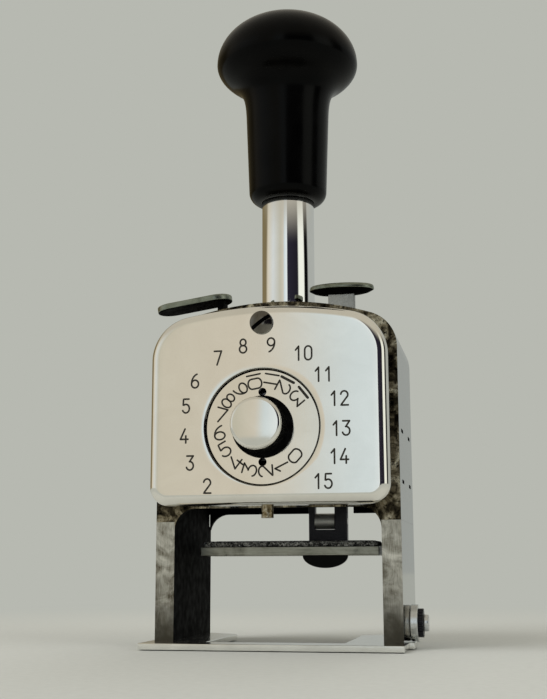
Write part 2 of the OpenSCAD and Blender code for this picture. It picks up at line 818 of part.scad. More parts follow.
module handle_grip() {
    a = grip_d / 2;
    zc = neck_len + grip_under * 1.05;
    r_neck = neck_top_d / 2;
    t_end = acos((r_neck + neck_round) / a);
    low = [for (t = [0:10:t_end]) [a * cos(t), zc - grip_under * sin(t)]];
    top = [for (t = [90:-6:6]) [a * cos(t), zc + grip_crown * sin(t)]];
    z_low = zc - grip_under * sin(t_end);
    color("black")
    translate([0, 0, handle_bottom])
        difference() {
            rotate_extrude($fn = 96)
                polygon(concat(
                    [[0, zc + grip_crown]],
                    [for (p = top) if (p[0] > 0.1) p],
                    low,
                    [for (t = [0:30:90])
                        [r_neck + neck_round * (1 - sin(t)), z_low - neck_round * (1 - cos(t))]],
                    [for (t = [0:30:90])
                        [neck_d / 2 - neck_round * (1 - cos(t)), neck_round * (1 - sin(t))]],
                    [[0, 0]]
                ));
            translate([0, 0, -over]) cylinder(h = stem_in_handle + over, d = stem_d);
        }
}

module stem_tube() {
    z0 = crosshead_top - stem_seat;
    color("gainsboro")
    difference() {
        translate([0, 0, z0]) cylinder(h = handle_bottom + stem_in_handle - z0, d = stem_d);
        translate([0, 0, z0 + stem_seat + over]) cylinder(h = handle_bottom, d = stem_d - 2 * stem_wall);
    }
}

module crosshead() {
    color("gray")
    difference() {
        translate([-crosshead_w / 2, -crosshead_d / 2, crosshead_z])
            cube([crosshead_w, crosshead_d, crosshead_h]);
        translate([0, 0, crosshead_top - stem_seat]) cylinder(h = stem_seat + over, d = stem_d);
        for (s = [0, 1]) mirror([s, 0, 0])
            translate([cheek_in, -cheek_y, crosshead_z - over]) cube([cheek_t, 2 * cheek_y, cheek_seat + over]);
    }
}

// One cheek of the wheel head, on the right.
module cheek() {
    difference() {
        union() {
            rod_x(cheek_in, cheek_in + cheek_t, 0, wheel_z, 2 * cheek_round);
            translate([cheek_in, -cheek_round, wheel_z])
                cube([cheek_t, 2 * cheek_round, crosshead_z + cheek_seat - wheel_z]);
            translate([cheek_in, -crosshead_d / 2, pawl_z - cheek_ear])
                cube([cheek_t, crosshead_d, crosshead_z + cheek_seat - pawl_z + cheek_ear]);
            rod_x(cheek_in, cheek_in + cheek_t, detent_y, detent_z, detent_bar_d + 2 * eye_wall);
        }
        rod_x(cheek_in - over, cheek_in + cheek_t + over, 0, wheel_z, axle_d);
        rod_x(cheek_in - over, cheek_in + cheek_t + over, detent_y, detent_z, detent_bar_d);
        rod_x(cheek_in - over, cheek_in + cheek_t + over, pawl_y, pawl_z, pawl_rod_d);
    }
}

module head_cheek_left() {
    color("gray") mirror([1, 0, 0]) cheek();
}

module head_cheek_right() {
    color("gray") cheek();
}

module wheel_axle() {
    end = cheek_in + cheek_t;
    tip = hook_x + axle_tip;
    color("silver") {
        rod_x(-tip, tip, 0, wheel_z, axle_d);
        for (s = [0, 1]) mirror([s, 0, 0]) rod_x(end, end + nut_w, 0, wheel_z, axle_nut_d);
    }
}

// Number wheel n, counted from the left: ten raised figures and a ratchet ring on its right side.
module number_wheel(n) {
    x0 = -head_half + n * wheel_pitch + wheel_gap / 2;
    w = wheel_pitch - wheel_gap;
    body_d = wheel_d - 2 * figure_h;
    face_w = w - ratchet_ring_w;
    color("dimgray")
    difference() {
        union() {
            rod_x(x0, x0 + face_w, 0, wheel_z, body_d);
            rod_x(x0, x0 + w, 0, wheel_z, wheel_ratchet_d);
            for (i = [0:9])
                translate([x0 + figure_edge, 0, wheel_z]) rotate([36 * i, 0, 0])
                    intersection() {
                        translate([0, -figure_w / 2, -wheel_d / 2])
                            cube([face_w - 2 * figure_edge, figure_w, 2 * figure_h]);
                        rotate([0, 90, 0]) cylinder(h = w, d = wheel_d);
                    }
        }
        for (i = [0:9])
            translate([x0 + face_w, 0, wheel_z]) rotate([36 * i + 18, 0, 0])
                translate([0, 0, wheel_ratchet_d / 2 + notch_out]) rotate([0, 90, 0])
                    cylinder(h = w, r = notch_r);
        rod_x(x0 - over, x0 + w + over, 0, wheel_z, axle_d + 2 * run_gap);
    }
}

module number_wheel_1() number_wheel(0);
module number_wheel_2() number_wheel(1);
module number_wheel_3() number_wheel(2);
module number_wheel_4() number_wheel(3);
module number_wheel_5() number_wheel(4);
module number_wheel_6() number_wheel(5);

module detent_bar() {
    color("silver")
    rod_x(-cheek_in - cheek_t, cheek_in + cheek_t, detent_y, detent_z, detent_bar_d);
}

// Six leaf springs in front of the wheels, cut from one strip that is fixed to the detent bar.
module detent_comb() {
    y = -wheel_d / 2 - seat_gap - detent_t;
    color("slategray")
    difference() {
        union() {
            translate([-head_half, y, detent_z - detent_strip_h / 2])
                cube([2 * head_half, detent_t, detent_strip_h]);
            translate([-head_half, y, detent_z - detent_t])
                cube([2 * head_half, detent_y - y, 2 * detent_t]);
            for (n = [0:wheel_count - 1])
                translate([-head_half + n * wheel_pitch + leaf_gap, y, wheel_z - over])
                    cube([wheel_pitch - 2 * leaf_gap, detent_t, detent_z - wheel_z]);
        }
        rod_x(-head_half - over, head_half + over, detent_y, detent_z, detent_bar_d);
    }
}

module pawl_rod() {
    color("silver")
    rod_x(-cheek_in - cheek_t, cheek_in + cheek_t, pawl_y, pawl_z, pawl_rod_d);
}

// The comb of six pawls that turns the wheels: a tube on its rod, with a finger for each wheel.
module advance_pawl() {
    tube_r = pawl_rod_d / 2 + pawl_wall;
    color("slategray")
    difference() {
        union() {
            rod_x(-head_half, head_half, pawl_y, pawl_z, 2 * tube_r);
            for (n = [1:wheel_count])
                translate([-head_half + n * wheel_pitch - ratchet_ring_w - wheel_gap / 2,
                           pawl_y - finger_t / 2, pawl_z - finger_l])
                    cube([ratchet_ring_w, finger_t, finger_l]);
            translate([-head_half, pawl_y - finger_t / 2, pawl_z])
                cube([2 * head_half, finger_t, tube_r + spine_h]);
        }
        rod_x(-head_half - over, head_half + over, pawl_y, pawl_z, pawl_rod_d + 2 * run_gap);
    }
}

// ---------------------------------------------------------------- springs

return_path = coil_path((coil_d - coil_wire_d) / 2, coil_bottom, coil_top, coil_turns, hook_rise);
button_path = coil_path(
    (button_coil_d - button_wire_d) / 2, button_coil_z, post_bottom, button_turns, button_run);

module return_spring() {
    color("silver")
    translate([coil_x, 0, 0]) wire(return_path, coil_wire_d);
}

module return_spring_left() mirror([1, 0, 0]) return_spring();
module return_spring_right() return_spring();

// Least gap between a spring's turns: the two nearest points of its path that lie more than half a turn apart
// along it, less the wire's diameter.
function least_gap(p, d) = min([for (i = [0:len(p) - 1], j = [0:len(p) - 1])
    if (j - i > curl_rings / 2) norm(p[j] - p[i])]) - d;
echo(return_spring_gap = least_gap(return_path, coil_wire_d));
echo(button_spring_gap = least_gap(button_path, button_wire_d));

// Two pins that hang the return springs from the case's roof.
module spring_pins() {
    color("dimgray")
    for (s = [-1, 1])
        translate([s * hook_x, 0, coil_top]) cylinder(h = pin_len, d = anchor_d);
}

// ---------------------------------------------------------------- ink pad

module pad_tray() {
    color("gray")
    difference() {
        translate([-tray_w / 2, -tray_front, tray_z]) cube([tray_w, tray_front + tray_back, tray_t]);
        translate([-tray_w / 2 + felt_border, -tray_front + felt_border, tray_top - felt_sink])
            cube([tray_w - 2 * felt_border, tray_front + tray_back - 3 * felt_border - ear_depth, over]);
    }
}

module felt_pad() {
    color("#1c1c20")
    translate([-tray_w / 2 + felt_border, -tray_front + felt_border, tray_top - felt_sink])
        cube([tray_w - 2 * felt_border, tray_front + tray_back - 3 * felt_border - ear_depth, felt_t + felt_sink]);
}

// The bracket that carries the tray: two ears with eyes for the pivot rod and short cranks above them, joined
// by a block on the tray.
module pad_strap() {
    y0 = tray_back - ear_depth;
    color("dimgray")
    difference() {
        union() {
            for (i = [0, 1]) {
                translate([ear_x[i], y0, tray_top]) cube([ear_t[i], ear_depth, pad_pivot_z - tray_top]);
                rod_x(ear_x[i], ear_x[i] + ear_t[i], pad_pivot_y, pad_pivot_z, eye_d);
                translate([ear_x[i], pad_pivot_y - crank_t / 2, pad_pivot_z]) cube([ear_t[i], crank_t, crank]);
            }
            translate([strap_x0, y0, tray_top]) cube([strap_x1 - strap_x0, ear_depth, strap_foot_h]);
        }
        rod_x(strap_x0 - over, strap_x1 + over, pad_pivot_y, pad_pivot_z, rod_d + 2 * run_gap);
        rod_x(strap_x0 - over, strap_x1 + over, tray_back - ear_depth / 2, spacer_z, spacer_rivet_d);
    }
}

// A sleeve between the ears, riveted through both.
module pad_spacer() {
    y = tray_back - ear_depth / 2;
    color("silver") {
        rod_x(ear_x[0] + ear_left_t, ear_x[1], y, spacer_z, spacer_d);
        rod_x(strap_x0, strap_x1, y, spacer_z, spacer_rivet_d);
    }
}

module finger_tab() {
    color("black")
    translate([tab_x, -tray_front, tray_z]) rotate([-90, 0, 0])
        intersection() {
            scale([1, 2 * tab_h / tab_w, 1]) cylinder(h = tab_t, d = tab_w);
            translate([-tab_w, 0, 0]) cube([2 * tab_w, tab_w, tab_t]);
        }
}

module pad_pivot_rod() {
    color("silver")
    rod_x(-leg_in, leg_in, pad_pivot_y, pad_pivot_z, rod_d);
}

// ---------------------------------------------------------------- controls

module thumb_lever() {
    plate_z = case_top + lever_rise;
    color("silver")
    difference() {
        union() {
            // oblong thumb plate, falling towards its free end
            translate([lever_end_x, control_y, plate_z]) rotate([0, -lever_tilt, 0])
                translate([-lever_l / 2, 0, 0]) oblong(lever_l, lever_w, lever_t);
            // shank that turns down into the case
            translate([lever_x - lever_t / 2, control_y - lever_shank_w / 2, lever_pin_z])
                cube([lever_t, lever_shank_w, plate_z - lever_pin_z + lever_t / 2]);
            rod_y(control_y - lever_shank_w / 2, control_y + lever_shank_w / 2, lever_x, lever_pin_z, lever_eye_d);
        }
        rod_y(control_y - lever_w, control_y + lever_w, lever_x, lever_pin_z, lever_pin_d + 2 * run_gap);
    }
}

module lever_pin() {
    color("silver")
    rod_y(cavity_y0, control_y + lever_shank_w / 2 + lever_t, lever_x, lever_pin_z, lever_pin_d);
}

module button_cap() {
    color("silver")
    translate([button_x, control_y, case_top + button_rise]) oblong(button_l, button_w, button_t);
}

module button_post() {
    collar_w = post_w + 2 * button_stop;
    collar_top = roof_in - crown_fall(button_x + collar_w / 2) - seat_gap;
    color("gray") {
        translate([button_x - post_w / 2, control_y - post_t / 2, post_bottom])
            cube([post_w, post_t, case_top + button_rise - post_bottom]);
        // collar that stops the button under the roof
        translate([button_x - collar_w / 2, control_y - post_t / 2, collar_top - collar_h])
            cube([collar_w, post_t, collar_h]);
    }
}

// A bracket on the case's front wall that carries the button's spring.
module button_guide() {
    color("gray")
    translate([button_x - guide_w / 2, cavity_y0, button_coil_z - guide_t])
        cube([guide_w, control_y + guide_w / 2 - cavity_y0, guide_t]);
}

module button_spring() {
    color("silver")
    translate([button_x, control_y, 0]) wire(button_path, button_wire_d);
}

// ---------------------------------------------------------------- clamp screw on the right leg

module clamp_washer() {
    color("silver")
    difference() {
        rod_x(clamp_x, clamp_x + washer_t, -clamp_front, clamp_z, clamp_washer_d);
        rod_x(clamp_x - over, clamp_x + washer_t + over, -clamp_front, clamp_z, clamp_thread_d + 2 * run_gap);
    }
}

module clamp_disc() {
    x0 = clamp_x + washer_t;
    color("dimgray")
    difference() {
        union() {
            rod_x(x0, x0 + clamp_gap, -clamp_front, clamp_z, clamp_washer_d - disc_step);
            rod_x(x0 + clamp_gap, x0 + clamp_gap + disc_lug_t, -clamp_front, clamp_z, disc_lug_d);
        }
        rod_x(x0 - over, x0 + disc_lug_t + 2 * over, -clamp_front, clamp_z, clamp_thread_d + 2 * run_gap);
    }
}

module clamp_nut() {
    x0 = clamp_nut_x;
    color("#303034")
    difference() {
        rod_x(x0, x0 + nut_t, -clamp_front, clamp_z, clamp_nut_d);
        for (i = [0:clamp_grooves - 1])
            translate([x0 - over, -clamp_front, clamp_z]) rotate([360 * i / clamp_grooves, 0, 0])
                translate([0, 0, clamp_nut_d / 2]) rotate([0, 90, 0])
                    cylinder(h = nut_t + 2 * over, d = groove_d, $fn = 16);
        rod_x(x0 - over, x0 + nut_t + over, -clamp_front, clamp_z, clamp_thread_d);
    }
}

module clamp_screw() {
    x1 = clamp_nut_x + nut_t;
    color("silver")
    difference() {
        union() {
            rod_x(leg_in + slide_gap, x1, -clamp_front, clamp_z, clamp_thread_d);
            rod_x(x1, x1 + clamp_head_t, -clamp_front, clamp_z, clamp_head_d);
        }
        translate([x1 + clamp_head_t / 2, -clamp_front - slot_w / 2, clamp_z - clamp_head_d])
            cube([clamp_head_t, slot_w, 2 * clamp_head_d]);
    }
}

// ---------------------------------------------------------------- assembly

base_plate();
base_screws();
left_leg();
right_leg();
leg_screws();
case_body();
back_plate();
back_screws();
stem_bush();
front_cover();
cover_screw();
lower_cover_screw();
dial_bush();
dial_click_spring();
spring_pins();
pad_pivot_rod();
lever_pin();
button_guide();
clamp_washer();
clamp_disc();
return_spring_left();
return_spring_right();
button_spring();
handle_grip();
stem_tube();
crosshead();
head_cheek_left();
head_cheek_right();
wheel_axle();
detent_comb();
detent_bar();
pawl_rod();
advance_pawl();
number_wheel_1();
number_wheel_2();
number_wheel_3();
number_wheel_4();
number_wheel_5();
number_wheel_6();
pad_tray();
felt_pad();
pad_strap();
pad_spacer();
finger_tab();
setting_disc();
setting_knob();
dial_shaft();
dial_ratchet();
thumb_lever();
button_cap();
button_post();
clamp_nut();
clamp_screw();
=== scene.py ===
# %% [markdown]
# # A hand numbering machine
# The machine is a plunger in a metal case. A black moulded handle pushes a chromed stem down, the head
# under it carries number wheels to the paper, and an ink pad swings out of the way. This lesson dresses the
# finished mechanism: every sheet, turned part and moulding gets the surface that the real one has.
#
# The mechanism comes from the frame. Pieces made here ride on its bodies, so they move with its joints.

# %% Load the mechanism
import math

import bmesh
import bpy
import numpy as np
from mathutils import Matrix, Vector


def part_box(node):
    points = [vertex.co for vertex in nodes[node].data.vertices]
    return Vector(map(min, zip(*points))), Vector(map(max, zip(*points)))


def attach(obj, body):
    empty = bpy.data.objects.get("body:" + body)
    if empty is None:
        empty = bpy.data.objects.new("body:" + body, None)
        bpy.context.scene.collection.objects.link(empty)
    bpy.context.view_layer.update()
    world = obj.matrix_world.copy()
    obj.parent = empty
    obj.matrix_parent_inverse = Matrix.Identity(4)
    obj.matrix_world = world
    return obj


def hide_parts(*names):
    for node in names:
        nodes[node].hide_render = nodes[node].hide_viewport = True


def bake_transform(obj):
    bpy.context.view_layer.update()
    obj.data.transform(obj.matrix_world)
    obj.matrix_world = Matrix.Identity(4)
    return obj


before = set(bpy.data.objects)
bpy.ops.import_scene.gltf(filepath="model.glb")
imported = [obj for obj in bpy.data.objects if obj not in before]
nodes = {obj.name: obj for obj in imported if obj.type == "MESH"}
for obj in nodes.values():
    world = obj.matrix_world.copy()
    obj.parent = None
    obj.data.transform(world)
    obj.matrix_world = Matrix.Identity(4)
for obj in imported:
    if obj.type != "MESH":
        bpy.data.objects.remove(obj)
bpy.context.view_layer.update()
MM = 0.001

# %% [markdown]
# ## The camera
# The view is the one that a person has with the machine on a shelf at eye height: from low in front, a
# little to the right, looking up along the stem. The camera is turned by three angles, and its lens is the
# one that gives this width of view.

# %% Camera
CAMERA_MM = (52.92, -279.68, 18.1)
YAW, PITCH, ROLL = np.radians([11.499, 10.814, -0.174])
LENS_MM = 58.74

forward = np.array([-math.sin(YAW) * math.cos(PITCH), math.cos(YAW) * math.cos(PITCH), math.sin(PITCH)])
level = np.array([math.cos(YAW), math.sin(YAW), 0.0])
upward = np.cross(level, forward)
right = level * math.cos(ROLL) + upward * math.sin(ROLL)
above = -level * math.sin(ROLL) + upward * math.cos(ROLL)

camera = bpy.data.objects.new("camera", bpy.data.cameras.new("camera"))
bpy.context.scene.collection.objects.link(camera)
camera.matrix_world = Matrix([
    [right[i], above[i], -forward[i], CAMERA_MM[i] * MM] for i in range(3)
] + [[0, 0, 0, 1]])
camera.data.lens = LENS_MM
camera.data.clip_start = 0.01
bpy.context.scene.camera = camera
bpy.context.scene.view_settings.view_transform = "Standard"
print("camera at", CAMERA_MM, "mm, lens", LENS_MM, "mm")

# %% [markdown]
# ## Surfaces from formulas
# Each new piece is a grid of points worked out with numpy. A grid becomes a mesh in one step: every cell is
# a quad, and where a grid closes on itself its last row joins its first. Rows that shrink to a point are
# merged.

# %% Grid to mesh
def to_mesh(name, grids, body, material, replaces=(), smooth=True):
    """A piece from one or more grids (points[u, v, xyz] in mm, wrap_u, wrap_v). Each cell is a quad."""
    points, faces, start = [], [], 0
    for grid, wrap_u, wrap_v in grids:
        nu, nv = grid.shape[:2]
        u, v = np.meshgrid(np.arange(nu - (not wrap_u)), np.arange(nv - (not wrap_v)), indexing="ij")
        next_u, next_v = (u + 1) % nu, (v + 1) % nv
        quads = np.stack([u * nv + v, next_u * nv + v, next_u * nv + next_v, u * nv + next_v], -1)
        points.append(grid.reshape(-1, 3))
        faces.append(quads.reshape(-1, 4) + start)
        start += nu * nv
    mesh = bpy.data.meshes.new(name)
    mesh.from_pydata((np.concatenate(points) * MM).tolist(), [], np.concatenate(faces).tolist())
    work = bmesh.new()
    work.from_mesh(mesh)
    bmesh.ops.remove_doubles(work, verts=work.verts, dist=1e-7)
    bmesh.ops.dissolve_degenerate(work, edges=work.edges, dist=1e-8)
    bmesh.ops.recalc_face_normals(work, faces=work.faces)
    work.to_mesh(mesh)
    work.free()
    return add_piece(mesh, body, material, replaces, smooth)


def add_piece(mesh, body, material, replaces=(), smooth=True):
    """Puts a mesh into the scene as a piece that rides on a body, if one is named, and stands for nodes."""
    mesh.polygons.foreach_set("use_smooth", [smooth] * len(mesh.polygons))
    mesh.materials.clear()
    mesh.materials.append(material)
    piece = bpy.data.objects.new(mesh.name, mesh)
    bpy.context.scene.collection.objects.link(piece)
    if body:
        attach(piece, body)
    if replaces:
        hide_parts(*replaces)
    print(f"{mesh.name}: {len(mesh.polygons)} faces on {body or 'two bodies'}")
    return piece


# %% Profiles
def arc(cx, cy, rx, ry, start, end, steps=24):
    """Points of an ellipse's arc: centre plus radii times cosine and sine of angles in degrees."""
    angle = np.radians(np.linspace(start, end, steps))
    return np.stack([cx + rx * np.cos(angle), cy + ry * np.sin(angle)], -1)


def rounded(corners, steps=6):
    """A path through corners (x, y, radius): each corner is an arc that touches both of its sides."""
    points = np.array([c[:2] for c in corners], float)
    path = [points[:1]]
    for i in range(1, len(points) - 1):
        into, out = points[i - 1] - points[i], points[i + 1] - points[i]
        into, out = into / np.linalg.norm(into), out / np.linalg.norm(out)
        half = math.acos(np.clip(into @ out, -1, 1)) / 2
        if corners[i][2] <= 0 or half > 1.55:
            path.append(points[i:i + 1])
            continue
        middle = (into + out) / np.linalg.norm(into + out)
        centre = points[i] + middle * corners[i][2] / math.sin(half)
        a = points[i] + into * corners[i][2] / math.tan(half) - centre
        b = points[i] + out * corners[i][2] / math.tan(half) - centre
        share = np.linspace(0, 1, steps)[:, None]
        turn = math.acos(np.clip(a @ b / corners[i][2] ** 2, -1, 1))
        path.append(centre + (a * np.sin((1 - share) * turn) + b * np.sin(share * turn)) / math.sin(turn))
    path.append(points[-1:])
    return np.concatenate(path)


def curve(p0, p1, p2, p3, steps=16):
    """A cubic Bezier curve: from p0 towards p1, arriving at p3 from p2."""
    t = np.linspace(0, 1, steps)[:, None]
    return ((1 - t) ** 3 * np.array(p0) + 3 * (1 - t) ** 2 * t * np.array(p1)
            + 3 * (1 - t) * t ** 2 * np.array(p2) + t ** 3 * np.array(p3))


def evenly(path, count):
    """A closed path as count points at even distances, read from its summed length by interpolation."""
    path = np.concatenate([path, path[:1]])
    step = np.concatenate([[0], np.cumsum(np.linalg.norm(np.diff(path, axis=0), axis=1))])
    places = np.linspace(0, step[-1], count, endpoint=False)
    return np.stack([np.interp(places, step, path[:, i]) for i in (0, 1)], -1)


def lathe(profile, axis="z", steps=128):
    """A profile (radius, height) turned round an axis: radius times cosine and sine, and height along it."""
    angle = np.linspace(0, 2 * math.pi, steps, endpoint=False)
    radius, height = profile[:, 0], profile[:, 1]
    c, s = np.cos(angle)[:, None] * radius, np.sin(angle)[:, None] * radius
    h = np.broadcast_to(height, c.shape)
    return np.stack({"z": (c, s, h), "-y": (c, -h, s)}[axis], -1)


# %% [markdown]
# ## Materials
# Each material starts from what the real surface is and how it was made. Colours are written as sRGB hex
# values, and one function turns them to linear light. Another adds a node with its settings and its links.

# %% Colour and node helpers
def linear(hex_colour):
    """An sRGB hex colour as linear red, green, blue and alpha."""
    c = np.array([int(hex_colour[i:i + 2], 16) for i in (1, 3, 5)]) / 255
    return [*np.where(c <= 0.04045, c / 12.92, ((c + 0.055) / 1.055) ** 2.4), 1.0]


def add(tree, kind, inputs=None, stops=(), **settings):
    """Adds a node to a tree. Inputs are values or (node, output) links, stops are the (place, hex colour)
    pairs of a colour ramp, and settings are the node's properties."""
    made = tree.nodes.new(kind)
    for name, value in settings.items():
        setattr(made, name, value)
    for name, value in (inputs or {}).items():
        if isinstance(value, tuple) and isinstance(value[0], bpy.types.Node):
            tree.links.new(value[0].outputs[value[1]], made.inputs[name])
        else:
            made.inputs[name].default_value = value
    while stops and len(made.color_ramp.elements) < len(stops):
        made.color_ramp.elements.new(0.5)
    for i, (place, colour) in enumerate(stops):
        made.color_ramp.elements[i].position = place
        made.color_ramp.elements[i].color = linear(colour)
    return made


def blank(name):
    """A new material, its tree, its principled shader joined to the output, and Object coordinates in mm."""
    material = bpy.data.materials.new(name)
    material.use_nodes = True
    tree = material.node_tree
    tree.nodes.clear()
    shader = add(tree, "ShaderNodeBsdfPrincipled")
    add(tree, "ShaderNodeOutputMaterial", {"Surface": (shader, "BSDF")})
    where = add(tree, "ShaderNodeTexCoord")
    size = add(tree, "ShaderNodeMapping", {"Vector": (where, "Object"), "Scale": (1 / MM, 1 / MM, 1 / MM)})
    return material, tree, shader, size


def dress(tree, shader, colour, roughness, bump=None, **sockets):
    """Joins a colour and a bump to the principled shader. The roughness is one number, or a noise with the
    low and the high level to which its usual span, 0.3 to 0.7, is stretched. Sockets are further fixed
    values."""
    tree.links.new(colour[0].outputs[colour[1]], shader.inputs["Base Color"])
    if isinstance(roughness, tuple):
        noise, low, high = roughness
        level = add(tree, "ShaderNodeMapRange", {"Value": (noise, "Fac"), "From Min": 0.3, "From Max": 0.7,
                                                 "To Min": low, "To Max": high})
        tree.links.new(level.outputs["Result"], shader.inputs["Roughness"])
    else:
        shader.inputs["Roughness"].default_value = roughness
    if bump is not None:
        tree.links.new(bump.outputs["Normal"], shader.inputs["Normal"])
    for name, value in sockets.items():
        shader.inputs[name.replace("_", " ")].default_value = value


# %% [markdown]
# ### Plated and polished metal
# Bright chrome plate is a thin hard layer over polished steel: almost a mirror. What makes it look real is
# what use leaves on it: hairlines from wiping, a slight haze, and smears that change how sharp the mirror
# is. The hairlines are noise stretched one way, a sixth of a millimetre apart, drawn coarser than real ones
# so that they show.

# %% Chrome
def chrome(name, colour, roughness, haze, hairline):
    """Polished chrome plate: a metal whose roughness changes with smears, with faint wiping hairlines."""
    material, tree, shader, size = blank(name)
    smear = add(tree, "ShaderNodeTexNoise", {"Vector": (size, "Vector"), "Scale": 0.09, "Detail": 5.0,
                                             "Roughness": 0.65, "Distortion": 0.6})
    stretched = add(tree, "ShaderNodeMapping", {"Vector": (size, "Vector"), "Scale": (6.0, 6.0, 0.25),
                                                "Rotation": (0.0, math.radians(24), 0.0)})
    lines = add(tree, "ShaderNodeTexNoise", {"Vector": (stretched, "Vector"), "Scale": 1.0, "Detail": 3.0})
    bump = add(tree, "ShaderNodeBump", {"Height": (lines, "Fac"), "Strength": hairline, "Distance": 0.0001})
    tint = add(tree, "ShaderNodeValToRGB", {"Fac": (smear, "Fac")}, [(0.3, colour[0]), (0.7, colour[1])])
    dress(tree, shader, (tint, "Color"), (smear, roughness, roughness + haze), bump, Metallic=1.0)
    return material


# chrome on pressed sheet, wiped for years: a warm mirror, just too soft to show sharp edges
COVER_CHROME = chrome("chrome_plate_wiped", ("#F0EDE6", "#F8F6F0"), 0.045, 0.05, 0.012)
# chrome on drawn tube, polished: the sharpest mirror of the machine
STEM_CHROME = chrome("chrome_plate_mirror", ("#F2F2F0", "#FAFAF8"), 0.03, 0.03, 0.01)
# chrome on a turned disc, rubbed by the thumb: clear, with more hairlines
DISC_CHROME = chrome("polished_chrome_dial", ("#EEEAE0", "#F6F3EB"), 0.06, 0.05, 0.03)
# chrome on a turned knob: bright, softened where fingers hold it
KNOB_CHROME = chrome("chrome_turned_knob", ("#EEEBE4", "#F6F4EE"), 0.07, 0.05, 0.01)
# thin nickel plate on flat ground steel: a darker, hazy mirror that takes the room's colour
SIDE_PLATE = chrome("plated_side_hazy", ("#949795", "#A9ACAA"), 0.07, 0.09, 0.03)
# plate worn through on a screw's dome: dark grey, with bright patches
SCREW_DOME = chrome("worn_screw_dome", ("#4E4A43", "#8A867E"), 0.08, 0.14, 0.05)
print("chrome finishes ready")

# %% [markdown]
# ### Ground and tarnished steel
# The legs and the foot are ground steel. Grinding leaves fine parallel lines, here along the leg, which
# spread a reflection sideways. Hands and ink have stained them, so slow brown and grey clouds lie over the
# lines. The lines are noise stretched seventeen times along the leg, a sixth of a millimetre apart.

# %% Steel
def steel(name, stops, roughness, grain, tilt=0.0, strength=0.12, stain=0.12):
    """Ground steel: stretched noise for the grinding lines, slow noise for stains that also dull it."""
    material, tree, shader, size = blank(name)
    turned = add(tree, "ShaderNodeMapping", {"Vector": (size, "Vector"), "Scale": grain,
                                             "Rotation": (0.0, math.radians(tilt), 0.0)})
    lines = add(tree, "ShaderNodeTexNoise", {"Vector": (turned, "Vector"), "Scale": 1.0, "Detail": 6.0,
                                             "Roughness": 0.7})
    clouds = add(tree, "ShaderNodeTexNoise", {"Vector": (size, "Vector"), "Scale": stain, "Detail": 6.0,
                                              "Roughness": 0.62, "Distortion": 0.8})
    both = add(tree, "ShaderNodeMix", {"Factor": 0.35, "A": (clouds, "Fac"), "B": (lines, "Fac")})
    tint = add(tree, "ShaderNodeValToRGB", {"Fac": (both, "Result")}, stops)
    bump = add(tree, "ShaderNodeBump", {"Height": (lines, "Fac"), "Strength": strength, "Distance": 0.0002})
    dress(tree, shader, (tint, "Color"), (clouds, *roughness), bump, Metallic=1.0)
    return material


def darken_towards_foot(material, foot_shade_colour, low, high, uneven_by=14):
    """Mixes painted shade over a finish near the foot: its share falls softly from one height to another, all
    in mm, and patches of about 4 mm shift both heights by a share of uneven_by."""
    tree = material.node_tree
    shader = tree.nodes["Principled BSDF"]
    unshaded_colour = shader.inputs["Base Color"].links[0].from_node
    where = add(tree, "ShaderNodeTexCoord")
    height = add(tree, "ShaderNodeSeparateXYZ", {"Vector": (where, "Object")})
    patches = add(tree, "ShaderNodeTexNoise", {"Vector": (where, "Object"), "Scale": 260.0, "Detail": 4.0})
    uneven = add(tree, "ShaderNodeMath", {0: (patches, "Fac"), 1: uneven_by * MM, 2: (height, "Z")},
                 operation="MULTIPLY_ADD")
    share = add(tree, "ShaderNodeMapRange", {
        "Value": (uneven, "Value"), "From Min": (low + uneven_by / 2) * MM,
        "From Max": (high + uneven_by / 2) * MM}, interpolation_type="SMOOTHSTEP")
    mixed = add(tree, "ShaderNodeMix", {0: (share, "Result"), 6: linear(foot_shade_colour), 7: (unshaded_colour, "Color")},
                data_type="RGBA")
    tree.links.new(mixed.outputs[2], shader.inputs["Base Color"])
    return material


# flat bar, ground and handled: grey with brown clouds, and painted shade darker towards the foot
LEG_STEEL = darken_towards_foot(
    steel("ground_steel_stained", [(0.36, "#5E5648"), (0.47, "#ABA89E"), (0.62, "#ECEAE2")], (0.3, 0.48),
          (6.0, 6.0, 0.35), 8.0, 0.14, 0.2), "#4C4941", 0.0, 19.0)
# rolled sheet, wiped by paper: nearly white, a soft mirror
BASE_STEEL = steel("bright_steel_sheet", [(0.3, "#E2E2DE"), (0.7, "#FAFAF6")], (0.1, 0.2),
                   (0.3, 5.0, 5.0), strength=0.04)
# turned steel that has darkened, and turned steel that tools and fingers keep bright
SCREW_STEEL = steel("turned_steel_worn", [(0.3, "#6A6A66"), (0.7, "#B8B8B4")], (0.18, 0.35), (3.0, 3.0, 3.0))
BRIGHT_STEEL = steel("turned_steel_bright", [(0.3, "#B4B6B6"), (0.7, "#E6E8E8")], (0.12, 0.22),
                     (3.0, 3.0, 3.0))
# die-cast zinc: pale and dull
ZINC = steel("die_cast_zinc_dull", [(0.3, "#C8C8C4"), (0.7, "#E8E8E4")], (0.5, 0.62), (2.0, 2.0, 2.0))
# chemically blackened steel: charcoal, with a low shine
DARK_STEEL = steel("blackened_steel", [(0.3, "#1C1C1F"), (0.7, "#434347")], (0.3, 0.5), (3.0, 3.0, 3.0))
# milled steel under oil: mid grey, lines across the cut
HEAD_STEEL = steel("milled_steel_oiled", [(0.3, "#4A4A4C"), (0.7, "#8C8C8E")], (0.25, 0.45), (4.0, 0.4, 4.0))
# hardened steel with ink on it: dark, with bare metal where paper rubs
WHEEL_STEEL = steel("hardened_steel_inky", [(0.3, "#202024"), (0.6, "#5A5A5E"), (0.75, "#8A8A8C")],
                    (0.25, 0.5), (0.4, 4.0, 4.0))
# drawn wire, tempered: grey with a trace of blue
SPRING_STEEL = steel("spring_steel_blued", [(0.3, "#4C4C54"), (0.7, "#9A9AA0")], (0.22, 0.35),
                     (4.0, 4.0, 4.0))
